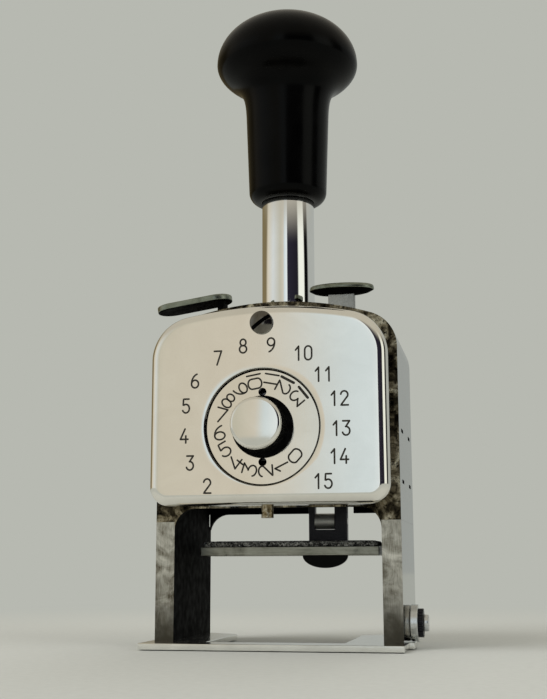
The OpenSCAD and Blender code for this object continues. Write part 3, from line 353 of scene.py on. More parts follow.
# pressed sheet, drawn lengthways and stained by ink: streaks of grey and near black
TRAY_STEEL = steel("pressed_steel_tray", [(0.36, "#26261F"), (0.5, "#8C8C82"), (0.68, "#B2B2A8")],
                   (0.22, 0.4), (0.12, 4.0, 4.0), stain=0.1)
# pressed sheet, brushed, its plate gone dull: greenish grey
LEVER_STEEL = steel("pressed_steel_brushed", [(0.34, "#3C4038"), (0.5, "#848A7E"), (0.7, "#A8AEA2")],
                    (0.22, 0.36), (0.3, 5.0, 5.0))
# turned brass, gone dull, and brass that shows through a plate that has worn off
BRASS = steel("turned_brass_dull", [(0.3, "#6E5426"), (0.6, "#B08E4C"), (0.75, "#C8A868")], (0.3, 0.5),
              (4.0, 4.0, 4.0))
OLD_BRASS = steel("brass_with_plate_worn_off", [(0.36, "#2A2418"), (0.48, "#8C7C5E"), (0.6, "#D2CCBA")],
                  (0.2, 0.5), (1.2, 1.2, 1.2), stain=1.1)
print("steel and brass finishes ready")

# %% [markdown]
# ### The tarnished case
# The case behind the cover is a casting with a thin bright plate that has worn and gone brown. Grime sits
# in its corners and along its edges. The colour is a mix of dirty silver, brown and near black, by two
# noises of different size, and the surface is slightly pitted.

# %% Cast case
def tarnished_case():
    """Worn plate on a casting: brown clouds over dull silver, dark specks, and a pitted bump."""
    material, tree, shader, size = blank("worn_plate_on_casting")
    clouds = add(tree, "ShaderNodeTexNoise", {"Vector": (size, "Vector"), "Scale": 0.3, "Detail": 8.0,
                                              "Roughness": 0.6, "Distortion": 0.5})
    specks = add(tree, "ShaderNodeTexNoise", {"Vector": (size, "Vector"), "Scale": 1.6, "Detail": 4.0,
                                              "Roughness": 0.7})
    tint = add(tree, "ShaderNodeValToRGB", {"Fac": (clouds, "Fac")},
               [(0.38, "#0E0C09"), (0.47, "#3E382C"), (0.55, "#7C735F"), (0.66, "#BAB29C")])
    dirt = add(tree, "ShaderNodeValToRGB", {"Fac": (specks, "Fac")}, [(0.36, "#0C0A08"), (0.46, "#FFFFFF")])
    mixed = add(tree, "ShaderNodeMix", {0: 1.0, 6: (tint, "Color"), 7: (dirt, "Color")}, data_type="RGBA",
                blend_type="MULTIPLY")
    bump = add(tree, "ShaderNodeBump", {"Height": (specks, "Fac"), "Strength": 0.25, "Distance": 0.0002})
    dress(tree, shader, (mixed, 2), (clouds, 0.5, 0.22), bump, Metallic=1.0)
    return material


CASE_METAL = tarnished_case()
print("case finish ready")

# %% [markdown]
# ### Black mouldings, felt and engraver's paint
# The handle is a compression moulding in phenolic resin: deep black, hard and polished, with an orange-peel
# wave that only shows in its highlights, and smears from the palm. The felt is wool soaked with ink,
# rough and light-swallowing, with pale lint on it. The figures are cut into the plate and filled with matt
# black paint.

# %% Handle, felt and paint
def phenolic(name, colour, roughness):
    """Polished phenolic moulding: black, glossy, faint waves, and a roughness that palm smears change."""
    material, tree, shader, size = blank(name)
    smear = add(tree, "ShaderNodeTexNoise", {"Vector": (size, "Vector"), "Scale": 0.14, "Detail": 5.0})
    peel = add(tree, "ShaderNodeTexNoise", {"Vector": (size, "Vector"), "Scale": 0.5, "Detail": 2.0})
    bump = add(tree, "ShaderNodeBump", {"Height": (peel, "Fac"), "Strength": 0.05, "Distance": 0.0003})
    tint = add(tree, "ShaderNodeValToRGB", {"Fac": (smear, "Fac")}, [(0.3, colour[0]), (0.7, colour[1])])
    dress(tree, shader, (tint, "Color"), (smear, *roughness), bump, Specular_IOR_Level=0.07)
    return material


def inked_felt():
    """Ink-soaked wool felt: black fibres from fine noise, pale lint where a second one peaks, and sheen."""
    material, tree, shader, size = blank("inked_wool_felt")
    fibres = add(tree, "ShaderNodeTexNoise", {"Vector": (size, "Vector"), "Scale": 3.0, "Detail": 6.0,
                                              "Roughness": 0.75, "Distortion": 2.0})
    lint = add(tree, "ShaderNodeTexNoise", {"Vector": (size, "Vector"), "Scale": 0.9, "Detail": 8.0,
                                            "Roughness": 0.85, "Distortion": 1.5})
    tint = add(tree, "ShaderNodeValToRGB", {"Fac": (lint, "Fac")},
               [(0.0, "#08080A"), (0.49, "#121216"), (0.53, "#B0B0AC"), (0.6, "#F6F6F2")])
    bump = add(tree, "ShaderNodeBump", {"Height": (fibres, "Fac"), "Strength": 0.9, "Distance": 0.0004})
    dress(tree, shader, (tint, "Color"), 0.95, bump, Sheen_Weight=0.3)
    return material


def painted_black_shade():
    """Painted shade and dark reflection: a dull near-black film with slow patches."""
    material, tree, shader, size = blank("painted_shade_near_black")
    patches = add(tree, "ShaderNodeTexNoise", {"Vector": (size, "Vector"), "Scale": 0.5, "Detail": 6.0})
    tint = add(tree, "ShaderNodeValToRGB", {"Fac": (patches, "Fac")}, [(0.35, "#010101"), (0.7, "#0A0A0B")])
    bump = add(tree, "ShaderNodeBump", {"Height": (patches, "Fac"), "Strength": 0.2, "Distance": 0.0003})
    dress(tree, shader, (tint, "Color"), (patches, 0.85, 0.6), bump, Specular_IOR_Level=0.04)
    return material


def engraver_paint():
    """Matt black filler in an engraved line, with slight patchiness from age."""
    material, tree, shader, size = blank("engraving_filler_black")
    worn = add(tree, "ShaderNodeTexNoise", {"Vector": (size, "Vector"), "Scale": 1.2, "Detail": 4.0})
    tint = add(tree, "ShaderNodeValToRGB", {"Fac": (worn, "Fac")}, [(0.3, "#14120F"), (0.7, "#3A362E")])
    dress(tree, shader, (tint, "Color"), 0.6)
    return material


# the knob in the palm is polished, and the small tab under the tray is only satin
HANDLE_BLACK = phenolic("phenolic_polished_black", ("#020202", "#050505"), (0.16, 0.26))
TAB_BLACK = phenolic("phenolic_satin_black", ("#060606", "#0C0C0C"), (0.3, 0.45))
FELT = inked_felt()
# painted shade: the near-black film laid on insides, undersides, a screw slot and the knob's side
PAINTED_SHADE_BLACK = painted_black_shade()
PAINT = engraver_paint()
print("mouldings, felt and paint ready")

# %% [markdown]
# ## Finishes of the mechanism's own pieces
# The pieces of the mechanism that keep their own shape get the finish of the real one. The order follows
# the machine: foot, case, head, controls, clamp.

# %% Assign finishes to the frame's nodes
FINISH = {
    BASE_STEEL: ["base_plate"],
    LEG_STEEL: ["left_leg", "right_leg"],
    DARK_STEEL: ["base_screws", "spring_pins", "clamp_nut", "pad_strap"],
    SCREW_STEEL: ["back_screws", "pad_pivot_rod", "lever_pin", "wheel_axle", "detent_bar", "pawl_rod",
                  "dial_shaft", "button_post", "clamp_washer"],
    BRIGHT_STEEL: ["clamp_disc", "clamp_screw"],
    ZINC: ["pad_spacer"],
    CASE_METAL: ["case_body"],
    COVER_CHROME: ["front_cover"],
    SCREW_DOME: ["cover_screw"],
    SIDE_PLATE: ["back_plate", "leg_screws"],
    STEM_CHROME: ["stem_tube"],
    BRASS: ["stem_bush", "dial_bush"],
    OLD_BRASS: ["lower_cover_screw"],
    SPRING_STEEL: ["dial_click_spring", "return_spring_left", "return_spring_right", "button_spring",
                   "detent_comb", "advance_pawl"],
    HEAD_STEEL: ["crosshead", "head_cheek_left", "head_cheek_right", "button_guide", "dial_ratchet"],
    WHEEL_STEEL: [f"number_wheel_{n}" for n in range(1, 7)],
    TRAY_STEEL: ["pad_tray"],
    FELT: ["felt_pad"],
    TAB_BLACK: ["finger_tab"],
    HANDLE_BLACK: ["handle_grip"],
    DISC_CHROME: ["setting_disc"],
    KNOB_CHROME: ["setting_knob"],
    LEVER_STEEL: ["thumb_lever", "button_cap"],
}
for material, names in FINISH.items():
    for name in names:
        nodes[name].data.materials.clear()
        nodes[name].data.materials.append(material)
bare = set(nodes) - {name for names in FINISH.values() for name in names}
print("finished", len(nodes) - len(bare), "of", len(nodes), "nodes; left bare:", sorted(bare))


# %% [markdown]
# ## Eased edges
# Nothing sawn, milled or pressed has a knife edge. Flat-sided pieces are remade from the mechanism's own
# solids: the loose triangles are merged, flat stretches are joined into one face, and every edge is rounded
# a little, so that it catches a line of light. Faces that are plated in their own way, or that get painted
# shade, get a second finish, picked by where a face lies and which way it looks.

# %% Second finishes
def second_finishes(piece, others):
    """Others are a finish and a test of face centres in mm and normals each: what passes takes the finish."""
    mesh = piece.data
    centre, normal = np.empty(len(mesh.polygons) * 3), np.empty(len(mesh.polygons) * 3)
    mesh.polygons.foreach_get("center", centre)
    mesh.polygons.foreach_get("normal", normal)
    choice = np.zeros(len(mesh.polygons), int)
    for number, (finish, test) in enumerate(others, 1):
        mesh.materials.append(finish)
        choice[test(centre.reshape(-1, 3) / MM, normal.reshape(-1, 3))] = number
    mesh.polygons.foreach_set("material_index", choice)
    print(mesh.name + ":", [int((choice == k).sum()) for k in range(len(others) + 1)], "faces of each finish")


# %% Copies with eased edges
JOIN = 2e-6                                   # corners of triangles that are nearer than this, in m, are one


def merged_copy(node, name, join_flat):
    """A copy of a node's mesh, its triangles joined at their corners and, if asked, into flat faces."""
    mesh = nodes[node].data.copy()
    mesh.name = name
    work = bmesh.new()
    work.from_mesh(mesh)
    bmesh.ops.remove_doubles(work, verts=work.verts, dist=JOIN)
    if join_flat:
        bmesh.ops.dissolve_limit(work, angle_limit=math.radians(0.5), verts=work.verts, edges=work.edges)
    work.to_mesh(mesh)
    work.free()
    return mesh


def eased(node, body, material, width, others=()):
    """A copy of a frame node with its flat faces joined and its edges bevelled to the given width in mm."""
    piece = add_piece(merged_copy(node, node + "_eased", True), body, material, (node,))
    second_finishes(piece, others)
    bevel = piece.modifiers.new("eased_edges", "BEVEL")
    bevel.width = width * MM
    bevel.segments = 3
    bevel.limit_method = "ANGLE"
    bevel.angle_limit = math.radians(40)
    flat = piece.modifiers.new("flat_faces", "WEIGHTED_NORMAL")     # large faces stay truly flat mirrors
    flat.mode, flat.weight = "FACE_AREA", 100
    return piece


# %% [markdown]
# ### Foot, legs and case
# The legs are flat bars, ground on their narrow faces and plated on their outer sides, and their inner
# sides are painted shade, near black. So is the inside of the case. A face's side is told by the sign of
# its normal, and the outer sides by how far out they lie.

# %% Foot, legs and case
leg_low, leg_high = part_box("right_leg")
OUTSIDE = leg_high.x / MM
eased("base_plate", "frame", BASE_STEEL, 0.2)
# painted shade on each leg's inner side; the outer side is plated
for side, node in ((-1, "left_leg"), (1, "right_leg")):
    eased(node, "frame", LEG_STEEL, 0.25, [
        (PAINTED_SHADE_BLACK, lambda c, n, side=side: n[:, 0] * side < -0.5),
        (SIDE_PLATE, lambda c, n, side=side: (n[:, 0] * side > 0.5) & (c[:, 0] * side > OUTSIDE - 0.1))])
# the case's front lies in the front plane of the legs
CASE_FRONT, CASE_TOP = leg_low.y / MM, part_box("case_body")[1].z / MM
# painted shade on the inside faces of the case; its outer sides are plated
eased("case_body", "frame", CASE_METAL, 0.3, [
    (PAINTED_SHADE_BLACK, lambda c, n: (c[:, 1] > CASE_FRONT + 0.1) & (c[:, 1] < -CASE_FRONT - 0.1)
     & (n[:, 2] < 0.2) & (np.abs(c[:, 0]) < OUTSIDE - 0.1)),
    (SIDE_PLATE, lambda c, n: (np.abs(n[:, 0]) > 0.7) & (np.abs(c[:, 0]) > OUTSIDE - 0.6))])
# painted shade on every face of the back plate except its rear
eased("back_plate", "frame", SIDE_PLATE, 0.2, [(PAINTED_SHADE_BLACK, lambda c, n: n[:, 1] < 0.5)])

# %% [markdown]
# ### Tray, controls and clamp
# The tray, its bracket and the thumb lever are pressed from sheet, and the screws and washers are turned.
# Thumbs have bent the lever's plate down by a few degrees at its free end. The slot of the screw at the top
# of the cover and the underside of the lever are painted shade, near black.

# %% Bending a plate
def bend_down(piece, x, z, above, degrees):
    """Turns the points above a height round the line along Y through x and z: each point's distances across
    and up from the line, times the cosine and sine of the angle. All lengths are in mm."""
    turn = math.radians(degrees)
    place = np.empty(len(piece.data.vertices) * 3)
    piece.data.vertices.foreach_get("co", place)
    place = place.reshape(-1, 3) / MM
    plate = place[:, 2] > above
    across, up = place[plate, 0] - x, place[plate, 2] - z
    place[plate, 0] = x + across * math.cos(turn) - up * math.sin(turn)
    place[plate, 2] = z + up * math.cos(turn) + across * math.sin(turn)
    piece.data.vertices.foreach_set("co", (place * MM).ravel())
    print(piece.name, "bent down:", int(plate.sum()), "points by", degrees, "degrees")


# %% Tray, controls and clamp
eased("pad_tray", "pad", TRAY_STEEL, 0.2)
eased("pad_strap", "pad", DARK_STEEL, 0.15)
eased("finger_tab", "pad", TAB_BLACK, 0.3)
# painted shade on the lever's underside and its lowest part
lever = eased("thumb_lever", "lever", LEVER_STEEL, 0.25,
              [(PAINTED_SHADE_BLACK, lambda c, n: (n[:, 2] < -0.5) | (c[:, 2] < CASE_TOP + 1))])
bend_down(lever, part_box("thumb_lever")[1].x / MM, CASE_TOP + 2, CASE_TOP + 0.2, 3.2)
eased("button_post", "button", SCREW_STEEL, 0.15)
screw_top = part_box("cover_screw")[0].y / MM
SLOT_FLOOR, SLOT_SIDES = 0.65, 0.69         # depths of the slot's floor and of its sides below the dome's top
# painted shade in the slot of the cover screw: its floor and sides
eased("cover_screw", "frame", SCREW_DOME, 0.06,
      [(PAINTED_SHADE_BLACK, lambda c, n: (np.abs(c[:, 1] - screw_top - SLOT_FLOOR) < 0.02) & (n[:, 1] < -0.99)
        | (np.abs(n[:, 1]) < 0.2) & (c[:, 1] < screw_top + SLOT_SIDES))])
eased("clamp_disc", "frame", BRIGHT_STEEL, 0.2)
eased("clamp_washer", "frame", SCREW_STEEL, 0.15)
eased("clamp_screw", "clamp", BRIGHT_STEEL, 0.12)

# %% [markdown]
# ## The handle
# The handle is a mushroom: an oval knob that fills the palm, and a neck that narrows a little downwards. In
# section the knob is two quarter ellipses, and a soft curve leads from its underside into the neck. Turned
# round the stem's axis, this profile is the whole piece, with a socket in which the stem ends.

# %% Handle
handle_low, handle_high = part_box("handle_grip")
HANDLE_R = handle_high.x / MM
HANDLE_TOP, HANDLE_END = handle_high.z / MM, handle_low.z / MM
CROWN, UNDER = 13.6, 8.7            # heights of the knob above and below its widest ring
NECK_TOP_R, NECK_END_R = 10.8, 10.05
NECK_DOWN = 15.0                    # how far below the widest ring the straight neck begins
LIP_R, LIP_H, SOCKET = 2.9, 3.0, 20                # rounding of the lower end, and depth of the stem's socket
FIT = 0.04                          # clearance between stem and socket, on the radius
STEM_R = 6.7
LEAVES = -38                        # degrees below the ring where the soft curve leaves the knob's ellipse
KEEPS_KNOB, KEEPS_NECK = 3.6, 5.6   # how far the soft curve keeps the direction of either end
ring_z = HANDLE_TOP - CROWN
under = arc(0, ring_z, HANDLE_R, UNDER, 0, LEAVES, 24)
slope = under[-1] - under[-2]
slope = slope / np.linalg.norm(slope)
neck_start = np.array([NECK_TOP_R, ring_z - NECK_DOWN])
neck_end = np.array([NECK_END_R, HANDLE_END + LIP_H])
along = (neck_end - neck_start) / np.linalg.norm(neck_end - neck_start)
handle_profile = np.concatenate([
    arc(0, ring_z, HANDLE_R, CROWN, 90, 0, 40)[:-1],
    under,
    curve(under[-1], under[-1] + slope * KEEPS_KNOB, neck_start - along * KEEPS_NECK, neck_start, 30)[1:],
    np.linspace(neck_start, neck_end, 12)[1:],
    arc(NECK_END_R - LIP_R, HANDLE_END + LIP_H, LIP_R, LIP_H, 0, -90, 14)[1:],
    rounded([(STEM_R + 0.15, HANDLE_END, 0), (STEM_R + FIT, HANDLE_END + 0.1, 0.05),
             (STEM_R + FIT, HANDLE_END + SOCKET, 0.1), (0, HANDLE_END + SOCKET, 0)]),
])
to_mesh("handle_moulding", [(lathe(handle_profile), True, False)], "plunger", HANDLE_BLACK,
        ("handle_grip",))

# %% [markdown]
# ## The coil springs
# Each return spring hangs from a pin in the roof and holds the head by the tip of its axle, so it stretches
# by the whole stroke. The button's spring stands on a small bracket and is pressed together. Each is a copy
# of the frame's wire with its corners merged, left in place and on no body.

# %% Springs
def coil_spring(node):
    """A copy of a frame spring with its corners merged, put in place of the node on no body."""
    piece = add_piece(merged_copy(node, node + "_wire", False), "", SPRING_STEEL, (node,))
    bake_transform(piece)


coil_spring("return_spring_left")
coil_spring("return_spring_right")
coil_spring("button_spring")

# %% [markdown]
# ## The stem
# The stem is a chromed tube. Its mirror shows the whole room as narrow upright bands, so it has to be truly
# round: 192 steps, shaded smooth.

# %% Stem
stem_low, stem_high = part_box("stem_tube")
STEM_WALL, STEM_EDGE = 1.5, 0.3               # the tube's wall and the chamfers at its ends
PLUG, SCREW_HOLE_R = 5, 0.6                   # height of its closed foot, and the hole through that
bottom, top = stem_low.z / MM, stem_high.z / MM
tube = rounded([
    (STEM_R, bottom + STEM_EDGE, 0), (STEM_R, top - STEM_EDGE, 0), (STEM_R - STEM_EDGE, top, 0.2),
    (STEM_R - STEM_WALL, top, 0.2), (STEM_R - STEM_WALL, bottom + PLUG, 0.2),
    (SCREW_HOLE_R, bottom + PLUG, 0), (SCREW_HOLE_R, bottom, 0), (STEM_R - STEM_EDGE, bottom, 0),
    (STEM_R, bottom + STEM_EDGE, 0)])
to_mesh("stem_mirror_tube", [(lathe(tube[:-1], steps=192), True, True)], "plunger",
        STEM_CHROME, ("stem_tube",))

# %% [markdown]
# ## The front cover
# The cover is pressed from sheet: a face with a slight bulge, a rounded edge and short sides. Its outline
# has a crowned top and round corners. The section is carried round that outline: from the chamfer of the
# dial opening, over the face, round the edge, back along the side, and the same way inside. The side view
# of each point is its depth, and its place on the face slides from the opening's circle to the outline.

# %% Cover outline
cover_low, cover_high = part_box("front_cover")
COVER_W = (cover_high.x - cover_low.x) / MM
COVER_TOP, COVER_BOTTOM = cover_high.z / MM, cover_low.z / MM
COVER_FRONT, COVER_BACK = cover_low.y / MM, cover_high.y / MM
CORNER, LOW_CORNER, CROWN_DROP = 10.4, 4.5, 1.5
EDGE_R, SHEET = 2.4, 1.0                      # radius of the rolled edge, and the sheet's thickness
DIAL_X, DIAL_Z, DIAL_R = -1.0, 49.5, 13.3
CHAMFER = 0.35                                # of the dial opening's edge
BULGE = 0.12                                  # how far the face's middle stands out, in mm
MIDDLE_Z, HALF_H = 54, 23                     # the face's middle and half its height


def cover_outline(inset, count=480):
    """The cover's outline, moved inwards by inset, as count points evenly spaced along it. The crown is one
    large arc, and each upper corner's centre lies where its arc and the crown touch with one tangent."""
    half = COVER_W / 2 - CORNER
    low = COVER_W / 2 - LOW_CORNER
    crown_r = (half ** 2 + CROWN_DROP ** 2) / (2 * CROWN_DROP)
    top_z = COVER_TOP - crown_r
    corner_z = top_z + math.sqrt((crown_r - CORNER) ** 2 - half ** 2)
    turn = math.degrees(math.asin(half / (crown_r - CORNER)))
    path = np.concatenate([
        arc(-low, COVER_BOTTOM + LOW_CORNER, LOW_CORNER - inset, LOW_CORNER - inset, 270, 180, 24),
        arc(-half, corner_z, CORNER - inset, CORNER - inset, 180, 90 + turn, 40),
        arc(0, top_z, crown_r - inset, crown_r - inset, 90 + turn, 90 - turn, 60)[1:-1],
        arc(half, corner_z, CORNER - inset, CORNER - inset, 90 - turn, 0, 40),
        arc(low, COVER_BOTTOM + LOW_CORNER, LOW_CORNER - inset, LOW_CORNER - inset, 0, -90, 24),
    ])
    return evenly(path, count)


def face_depth(x, z):
    """Depth of the face: its front, plus half the bulge times the squared distance from its middle."""
    u, w = x / (COVER_W / 2), (z - MIDDLE_Z) / HALF_H
    return COVER_FRONT + BULGE * (u ** 2 + w ** 2) / 2


print("cover outline:", len(cover_outline(0.0)), "points, width", round(COVER_W, 1), "mm")


# %% Cover shell
def cover_shell():
    """Rings from the dial opening outwards, then back inside. Each ring is (place in x and z, depth y)."""
    flat = cover_outline(EDGE_R)
    heading = np.arctan2(flat[:, 1] - DIAL_Z, flat[:, 0] - DIAL_X)
    circle = np.stack([np.cos(heading), np.sin(heading)], -1)
    centre = np.array([DIAL_X, DIAL_Z])
    rings = []

    def ring(place, depth):
        rings.append(np.stack([place[:, 0], np.broadcast_to(depth, place[:, 0].shape), place[:, 1]], -1))

    def hole(radius):
        return centre + circle * radius

    edge = hole(DIAL_R + CHAMFER)
    for share in np.linspace(0, 1, 5):                     # the opening's rolled chamfer
        angle = share * math.pi / 2
        place = hole(DIAL_R + CHAMFER * (1 - math.sin(angle)) if share < 1 else DIAL_R)
        ring(place, face_depth(*place.T) + CHAMFER * (1 - math.cos(angle)) if share else face_depth(*place.T))
    rings.reverse()
    for share in np.linspace(0, 1, 14)[1:]:                # the face
        place = edge + (flat - edge) * share
        ring(place, face_depth(*place.T))
    for angle in np.radians(np.linspace(0, 90, 17)[1:]):   # the rounded edge
        place = cover_outline(EDGE_R * (1 - math.sin(angle)))
        ring(place, face_depth(*flat.T) * math.cos(angle) ** 2
             + (COVER_FRONT + EDGE_R * (1 - math.cos(angle))) * math.sin(angle) ** 2
             + EDGE_R * (1 - math.cos(angle)) * math.cos(angle) ** 2)
    ring(cover_outline(0), COVER_BACK - 0.15)              # the side, and the sheet's rear edge
    ring(cover_outline(0.15), COVER_BACK)
    ring(cover_outline(SHEET - 0.1), COVER_BACK)
    ring(cover_outline(SHEET), COVER_BACK - 0.1)
    inner_r = EDGE_R - SHEET
    for angle in np.radians(np.linspace(90, 0, 7)):        # the same edge inside
        ring(cover_outline(SHEET + inner_r * (1 - math.sin(angle))),
             COVER_FRONT + SHEET + inner_r * (1 - math.cos(angle)) + BULGE)
    ring(hole(DIAL_R), COVER_FRONT + SHEET + BULGE)
    return np.stack(rings, 1)


to_mesh("cover_pressing", [(cover_shell(), True, True)], "frame", COVER_CHROME,
        ("front_cover",))

# %% [markdown]
# ## Engraved figures
# The figures were cut with a round cutter guided along a line, so every stroke has one width and round
# ends. Each figure is a few strokes, each stroke is lines and arcs, and a stroke becomes a flat lens: its
# width is full along the line and closes in a half circle at both ends. The cover carries plain numbers
# only.

# %% Strokes of the figures
def line(*points):
    """A straight-sided stroke through the given points."""
    return np.array(points, float)


STROKES = {
    "0": [np.concatenate([arc(.27, .72, .25, .28, 180, 0, 13), arc(.27, .28, .25, .28, 0, -180, 13),
                          line((.02, .72))])],
    "1": [line((.1, .74), (.32, 1), (.32, 0))],
    "2": [np.concatenate([arc(.27, .73, .25, .27, 170, -22, 16), line((.02, 0), (.54, 0))])],
    "3": [line((.03, 1), (.5, 1), (.24, .6)), arc(.25, .3, .26, .3, 96, -160, 20)],
    "4": [line((.34, 1), (0, .26), (.56, .26)), line((.4, .5), (.4, 0))],
    "5": [np.concatenate([line((.48, 1), (.08, 1), (.06, .56)), arc(.26, .31, .26, .31, 128, -155, 20)])],
    "6": [np.concatenate([arc(.56, .3, .55, .72, 106, 178, 12), arc(.27, .28, .26, .28, 180, 540, 24)])],
    "7": [line((0, 1), (.52, 1), (.2, 0))],
    "8": [arc(.27, .76, .21, .24, 0, 360, 24), arc(.27, .27, .26, .27, 0, 360, 24)],
    "9": [np.concatenate([arc(-.02, .7, .55, .72, -74, -2, 12), arc(.27, .72, .26, .28, 0, 360, 24)])],
    "-": [line((.27, 0), (.27, 1))],
}
ADVANCE, FIGURE_W = 0.74, 0.54                # from one figure to the next, and its width, in figure heights
LIFT, GAP = 0.03, 0.25                        # how far the paint stands out, and the longest step of a line
print("figures with strokes:", " ".join(STROKES))


def dense(points, gap):
    """The same line with points no further apart than gap, and each corner kept."""
    parts = [points[:1]]
    for a, b in zip(points[:-1], points[1:]):
        count = max(1, math.ceil(np.linalg.norm(b - a) / gap))
        parts.append(a + (b - a) * np.linspace(0, 1, count + 1)[1:, None])
    return np.concatenate(parts)


def lens(points, width, height, sides=6):
    """A flat lens along a line: half its width across and its height up, times the cosine and sine of an
    angle. Past both ends the width falls as a half circle does, so that the ends are round."""
    heading = np.gradient(points, axis=0)
    heading /= np.maximum(np.linalg.norm(heading, axis=1), 1e-9)[:, None]
    cap = np.radians(np.linspace(90, 15, 5))
    before = points[0] - heading[0] * (width / 2) * np.sin(cap)[:, None]
    after = points[-1] + heading[-1] * (width / 2) * np.sin(cap[::-1])[:, None]
    path = np.concatenate([before, points, after])
    half = np.concatenate([np.cos(cap), np.ones(len(points)), np.cos(cap[::-1])]) * width / 2
    heading = np.concatenate([np.repeat(heading[:1], 5, 0), heading, np.repeat(heading[-1:], 5, 0)])
    across = np.stack([-heading[:, 1], heading[:, 0]], -1)
    angle = np.linspace(0, 2 * math.pi, sides, endpoint=False)
    flat = path[:, None] + across[:, None] * half[:, None, None] * np.cos(angle)[None, :, None]
    lift = np.broadcast_to(np.sin(angle) * height, flat.shape[:2])
    return np.concatenate([flat, lift[..., None]], -1)


def words(text, height, width_of_line, stretch=1.0):
    """All the lenses of a text, centred on the origin, in the plane of the first two coordinates. The
    strokes are scaled to the height, and across also by the stretch."""
    scale = np.array([height * stretch, height])
    wide = (len(text) - 1) * ADVANCE * height + FIGURE_W * scale[0]
    found = []
    for i, letter in enumerate(text):
        for stroke in STROKES[letter]:
            place = stroke * scale + np.array([i * ADVANCE * height - wide / 2, -height / 2])
            pieces = [place] if len(place) > 6 else [place[k:k + 2] for k in range(len(place) - 1)]
            found += [lens(dense(p, GAP), width_of_line, LIFT) for p in pieces]
    return found


# %% Figures on the cover
FIGURE_H, STROKE_W = 3.2, 0.42
LABELS = {"2": (-13.66, 36.24), "3": (-17.71, 41.53), "4": (-19.2, 47.75), "5": (-18.81, 54.67),
          "6": (-16.72, 60.43), "7": (-11.28, 65.62), "8": (-5.36, 68.19), "9": (1.22, 68.2),
          "10": (8.65, 65.99), "11": (13.2, 60.97), "12": (16.77, 55.38), "13": (17.13, 48.61),
          "14": (16.59, 42.37), "15": (12.93, 36.9)}
figures = []
for text, (x, z) in LABELS.items():
    for grid in words(text, FIGURE_H, STROKE_W):
        px, pz = grid[..., 0] + x, grid[..., 1] + z
        figures.append((np.stack([px, face_depth(px, pz) - grid[..., 2], pz], -1), False, True))
to_mesh("cover_figures", figures, "frame", PAINT)

# %% [markdown]
# ## The setting dial
# The disc turns behind the opening and carries its own figures, set radially: the top of each figure points
# clockwise, and the tens lie outside the units. The knob in its middle is turned: a flared foot, a cylinder
# and a domed end.

# %% Dial figures
DISC_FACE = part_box("setting_disc")[0].y / MM
# degrees clockwise from the top
DISC_FIGURES = {"0": 132, "1": 154, "2": 176, "3": 197, "4": 218, "5": 240.6, "6": 263.6, "7": 286.7,
                "8": 308, "9": 329.4, "10": 350, "11": 11, "12": 29, "13": 51.3}
UNITS_R, TENS_R, DISC_FIGURE_H, DISC_STRETCH = 10.1, 12.15, 3.2, 1.45
THIN, THICK = 0.4, 0.62                       # widths of the cut lines


def on_disc(grids, clock, radius):
    """Turns flat lenses so that their right is towards the centre and their top points clockwise."""
    angle = math.radians(clock)
    outward = np.array([math.sin(angle), math.cos(angle)])
    clockwise = np.array([math.cos(angle), -math.sin(angle)])
    placed = []
    for grid in grids:
        flat = (outward * radius) - grid[..., :1] * outward + grid[..., 1:2] * clockwise
        placed.append((np.stack([flat[..., 0] + DIAL_X, DISC_FACE - grid[..., 2], flat[..., 1] + DIAL_Z], -1),
                       False, True))
    return placed


dial_figures = []
for text, clock in DISC_FIGURES.items():
    unit = "-" if text == "11" else text[-1]
    dial_figures += on_disc(words(unit, DISC_FIGURE_H, THIN, DISC_STRETCH), clock, UNITS_R)
    if len(text) == 2:
        dial_figures += on_disc(words("-", DISC_FIGURE_H, THICK if text > "11" else THIN), clock, TENS_R)
to_mesh("dial_figures", dial_figures, "dial", PAINT)

# %% Setting knob
KNOB_OUT = DISC_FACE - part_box("setting_knob")[0].y / MM
KNOB_R, KNOB_FOOT_R, EDGE, TEETH = 5.9, 7.1, 0.9, 72
DOME, DOME_FALL = 0.35, 0.25                  # fall of the domed end at the knob's radius and at its edge
KNURL_FOOT, KNURL_END = 3.0, 1.5              # above the disc, and below the knob's end
end_face = np.linspace(0, 1, 16)[:-1, None] * (KNOB_R - EDGE)
knob_profile = np.concatenate([
    np.concatenate([end_face, KNOB_OUT - DOME * (end_face / KNOB_R) ** 2], -1),
    arc(KNOB_R - EDGE, KNOB_OUT - DOME_FALL - EDGE, EDGE, EDGE, 90, 0, 10),
    np.stack([np.full(12, KNOB_R), np.linspace(KNOB_OUT - KNURL_END, KNURL_FOOT, 12)], -1),
    curve((KNOB_R, 2.7), (KNOB_R, 2.0), (KNOB_R + 0.2, 1.3), (KNOB_FOOT_R - 0.4, 0.9), 12),
    rounded([(KNOB_FOOT_R - 0.3, 0.85, 0), (KNOB_FOOT_R, 0.7, 0.2), (KNOB_FOOT_R, 0.02, 0.1),
             (0, 0.02, 0)])[1:],
])
turned = lathe(knob_profile, "-y", steps=6 * TEETH)
rows = (knob_profile[:, 1] > KNURL_FOOT) & (knob_profile[:, 1] < KNOB_OUT - KNURL_END + 0.1)
tooth = 1 - 0.012 * (1 - np.cos(np.arange(6 * TEETH) * 2 * math.pi / 6))     # each tooth is one cosine wave
turned[:, rows, 0] *= tooth[:, None]
turned[:, rows, 2] *= tooth[:, None]
knob = to_mesh("knob_turned", [(turned + np.array([DIAL_X, DISC_FACE, DIAL_Z]), True, False)], "dial",
               KNOB_CHROME, ("setting_knob",))
# painted dark reflection: the knob's knurled side and flared foot are near black
second_finishes(knob, [(PAINTED_SHADE_BLACK, lambda c, n: (n[:, 1] > -0.95)
                        & (DISC_FACE - c[:, 1] < KNOB_OUT - KNURL_END + 0.2))])
